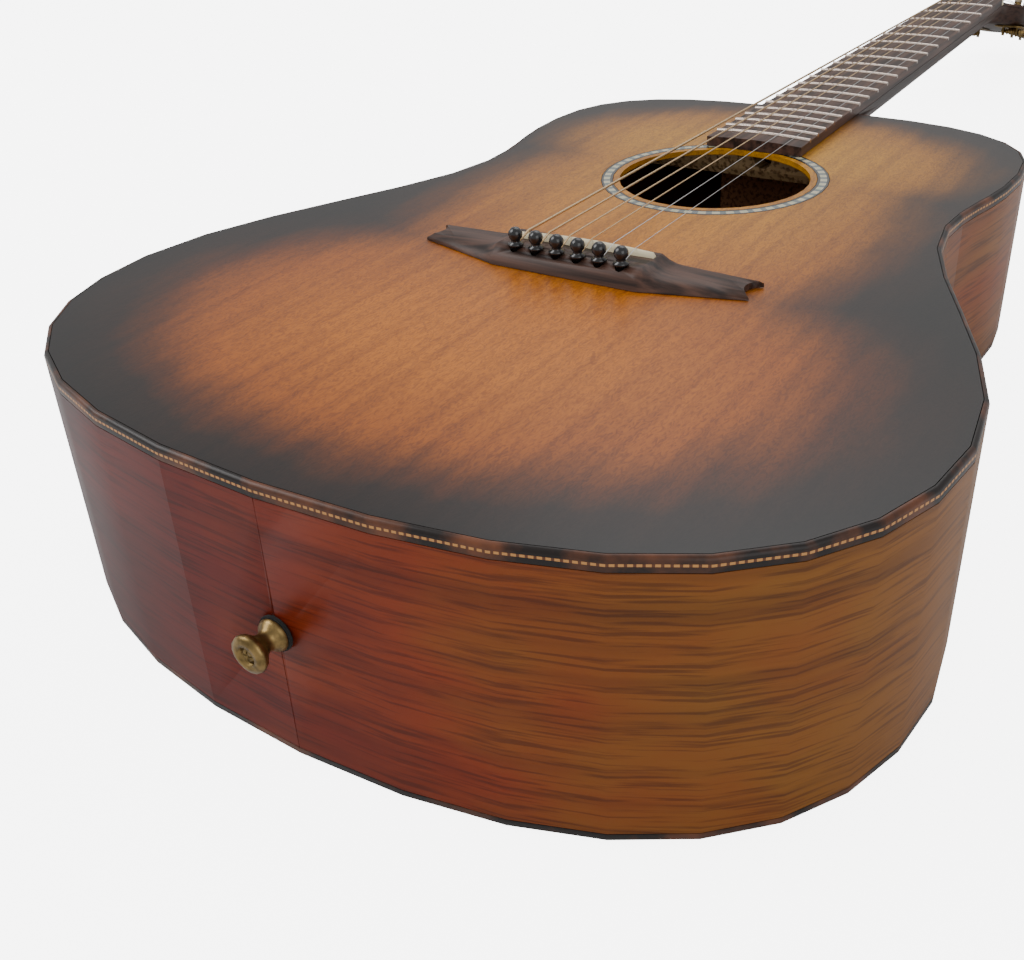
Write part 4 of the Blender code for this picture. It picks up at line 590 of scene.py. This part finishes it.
# %% [markdown]
# A plain pale floor carries the guitar. The background has to be white without washing out the
# lacquer, so the floor shines for the camera's own rays alone, and the guitar reflects a plain pale
# surface.

# %% Floor
CAMERA_WHITE = 6.0
FLOOR_HALF = 6.0
FLOOR_DROP = 0.0005
FLOOR_GREY = (0.75, 0.75, 0.75, 1)
floor_mesh = bmesh.new()
bmesh.ops.create_grid(floor_mesh, x_segments=1, y_segments=1, size=FLOOR_HALF)
floor_data = bpy.data.meshes.new("floor")
floor_mesh.to_mesh(floor_data)
floor_mesh.free()
floor = bpy.data.objects.new("floor", floor_data)
floor.location.z = -FLOOR_DROP
bpy.context.scene.collection.objects.link(floor)
pale = bpy.data.materials.new("pale_floor")
pale.use_nodes = True
pale_shader = pale.node_tree.nodes["Principled BSDF"]
pale_shader.inputs["Base Color"].default_value = FLOOR_GREY
pale_shader.inputs["Roughness"].default_value = 0.9
pale_shader.inputs["Emission Color"].default_value = (1, 1, 1, 1)
to_camera = pale.node_tree.nodes.new("ShaderNodeLightPath")
brightness = pale.node_tree.nodes.new("ShaderNodeMath")
brightness.operation = "MULTIPLY"
brightness.inputs[1].default_value = CAMERA_WHITE
pale.node_tree.links.new(to_camera.outputs["Is Camera Ray"], brightness.inputs[0])
pale.node_tree.links.new(brightness.outputs[0], pale_shader.inputs["Emission Strength"])
floor_data.materials.append(pale)
print("floor", floor.dimensions.x, "m wide")

# %% [markdown]
# Large soft lights stand round the guitar: a key from the left, a fill from the right, and one
# overhead for the broad sheen on the lacquer. An even white world lifts the shadows.

# %% Lights
LIT_POINT = Vector((0, -0.2, 0.05))
WORLD_STRENGTH = 0.6
LIGHTS = (
    ("key", (-1.4, -0.9, 1.4), 1.2, 22),
    ("fill", (1.6, -1.2, 1.0), 1.4, 10),
    ("overhead", (-0.2, 0.9, 1.8), 1.6, 16),
)

world = bpy.data.worlds.new("studio")
world.use_nodes = True
world.node_tree.nodes["Background"].inputs["Color"].default_value = (1, 1, 1, 1)
world.node_tree.nodes["Background"].inputs["Strength"].default_value = WORLD_STRENGTH
bpy.context.scene.world = world
for name, place, size, power in LIGHTS:
    light = bpy.data.lights.new(name, "AREA")
    light.size = size
    light.energy = power
    lamp = bpy.data.objects.new(name, light)
    lamp.location = place
    lamp.rotation_euler = (LIT_POINT - Vector(place)).to_track_quat("-Z", "Y").to_euler()
    bpy.context.scene.collection.objects.link(lamp)
print(len(LIGHTS), "lights")

# %% [markdown]
# The camera stands low at the tail, to the treble side, as the photographer did. Its place and its
# angles were worked out in the guitar's frame from the frets, the pins and the sound hole, and are
# turned into the world here.

# %% Camera
CAMERA_PLACE = Vector((0.2657, -0.7386, 0.2037))
CAMERA_YAW = -0.6074
CAMERA_PITCH = -0.5478
CAMERA_ROLL = -0.0563
FOCAL_PIXELS = 1203.5
IMAGE_WIDTH = 1024
SENSOR_WIDTH = 36

ahead = Vector(
    (
        math.sin(CAMERA_YAW) * math.cos(CAMERA_PITCH),
        math.cos(CAMERA_YAW) * math.cos(CAMERA_PITCH),
        math.sin(CAMERA_PITCH),
    )
)
right = ahead.cross(Vector((0, 0, 1))).normalized()
above = right.cross(ahead)
rolled_right = right * math.cos(CAMERA_ROLL) + above * math.sin(CAMERA_ROLL)
rolled_above = above * math.cos(CAMERA_ROLL) - right * math.sin(CAMERA_ROLL)
turn = Matrix((rolled_right, rolled_above, -ahead)).transposed()
camera_data = bpy.data.cameras.new("camera")
camera_data.sensor_width = SENSOR_WIDTH
camera_data.lens = FOCAL_PIXELS * camera_data.sensor_width / IMAGE_WIDTH
camera_data.clip_start = 0.01
camera = bpy.data.objects.new("camera", camera_data)
camera.matrix_world = Matrix.Translation(in_world(CAMERA_PLACE)) @ (TO_GUITAR.transposed() @ turn).to_4x4()
bpy.context.scene.collection.objects.link(camera)
bpy.context.scene.camera = camera
print("camera at", tuple(round(value, 3) for value in in_world(CAMERA_PLACE)))
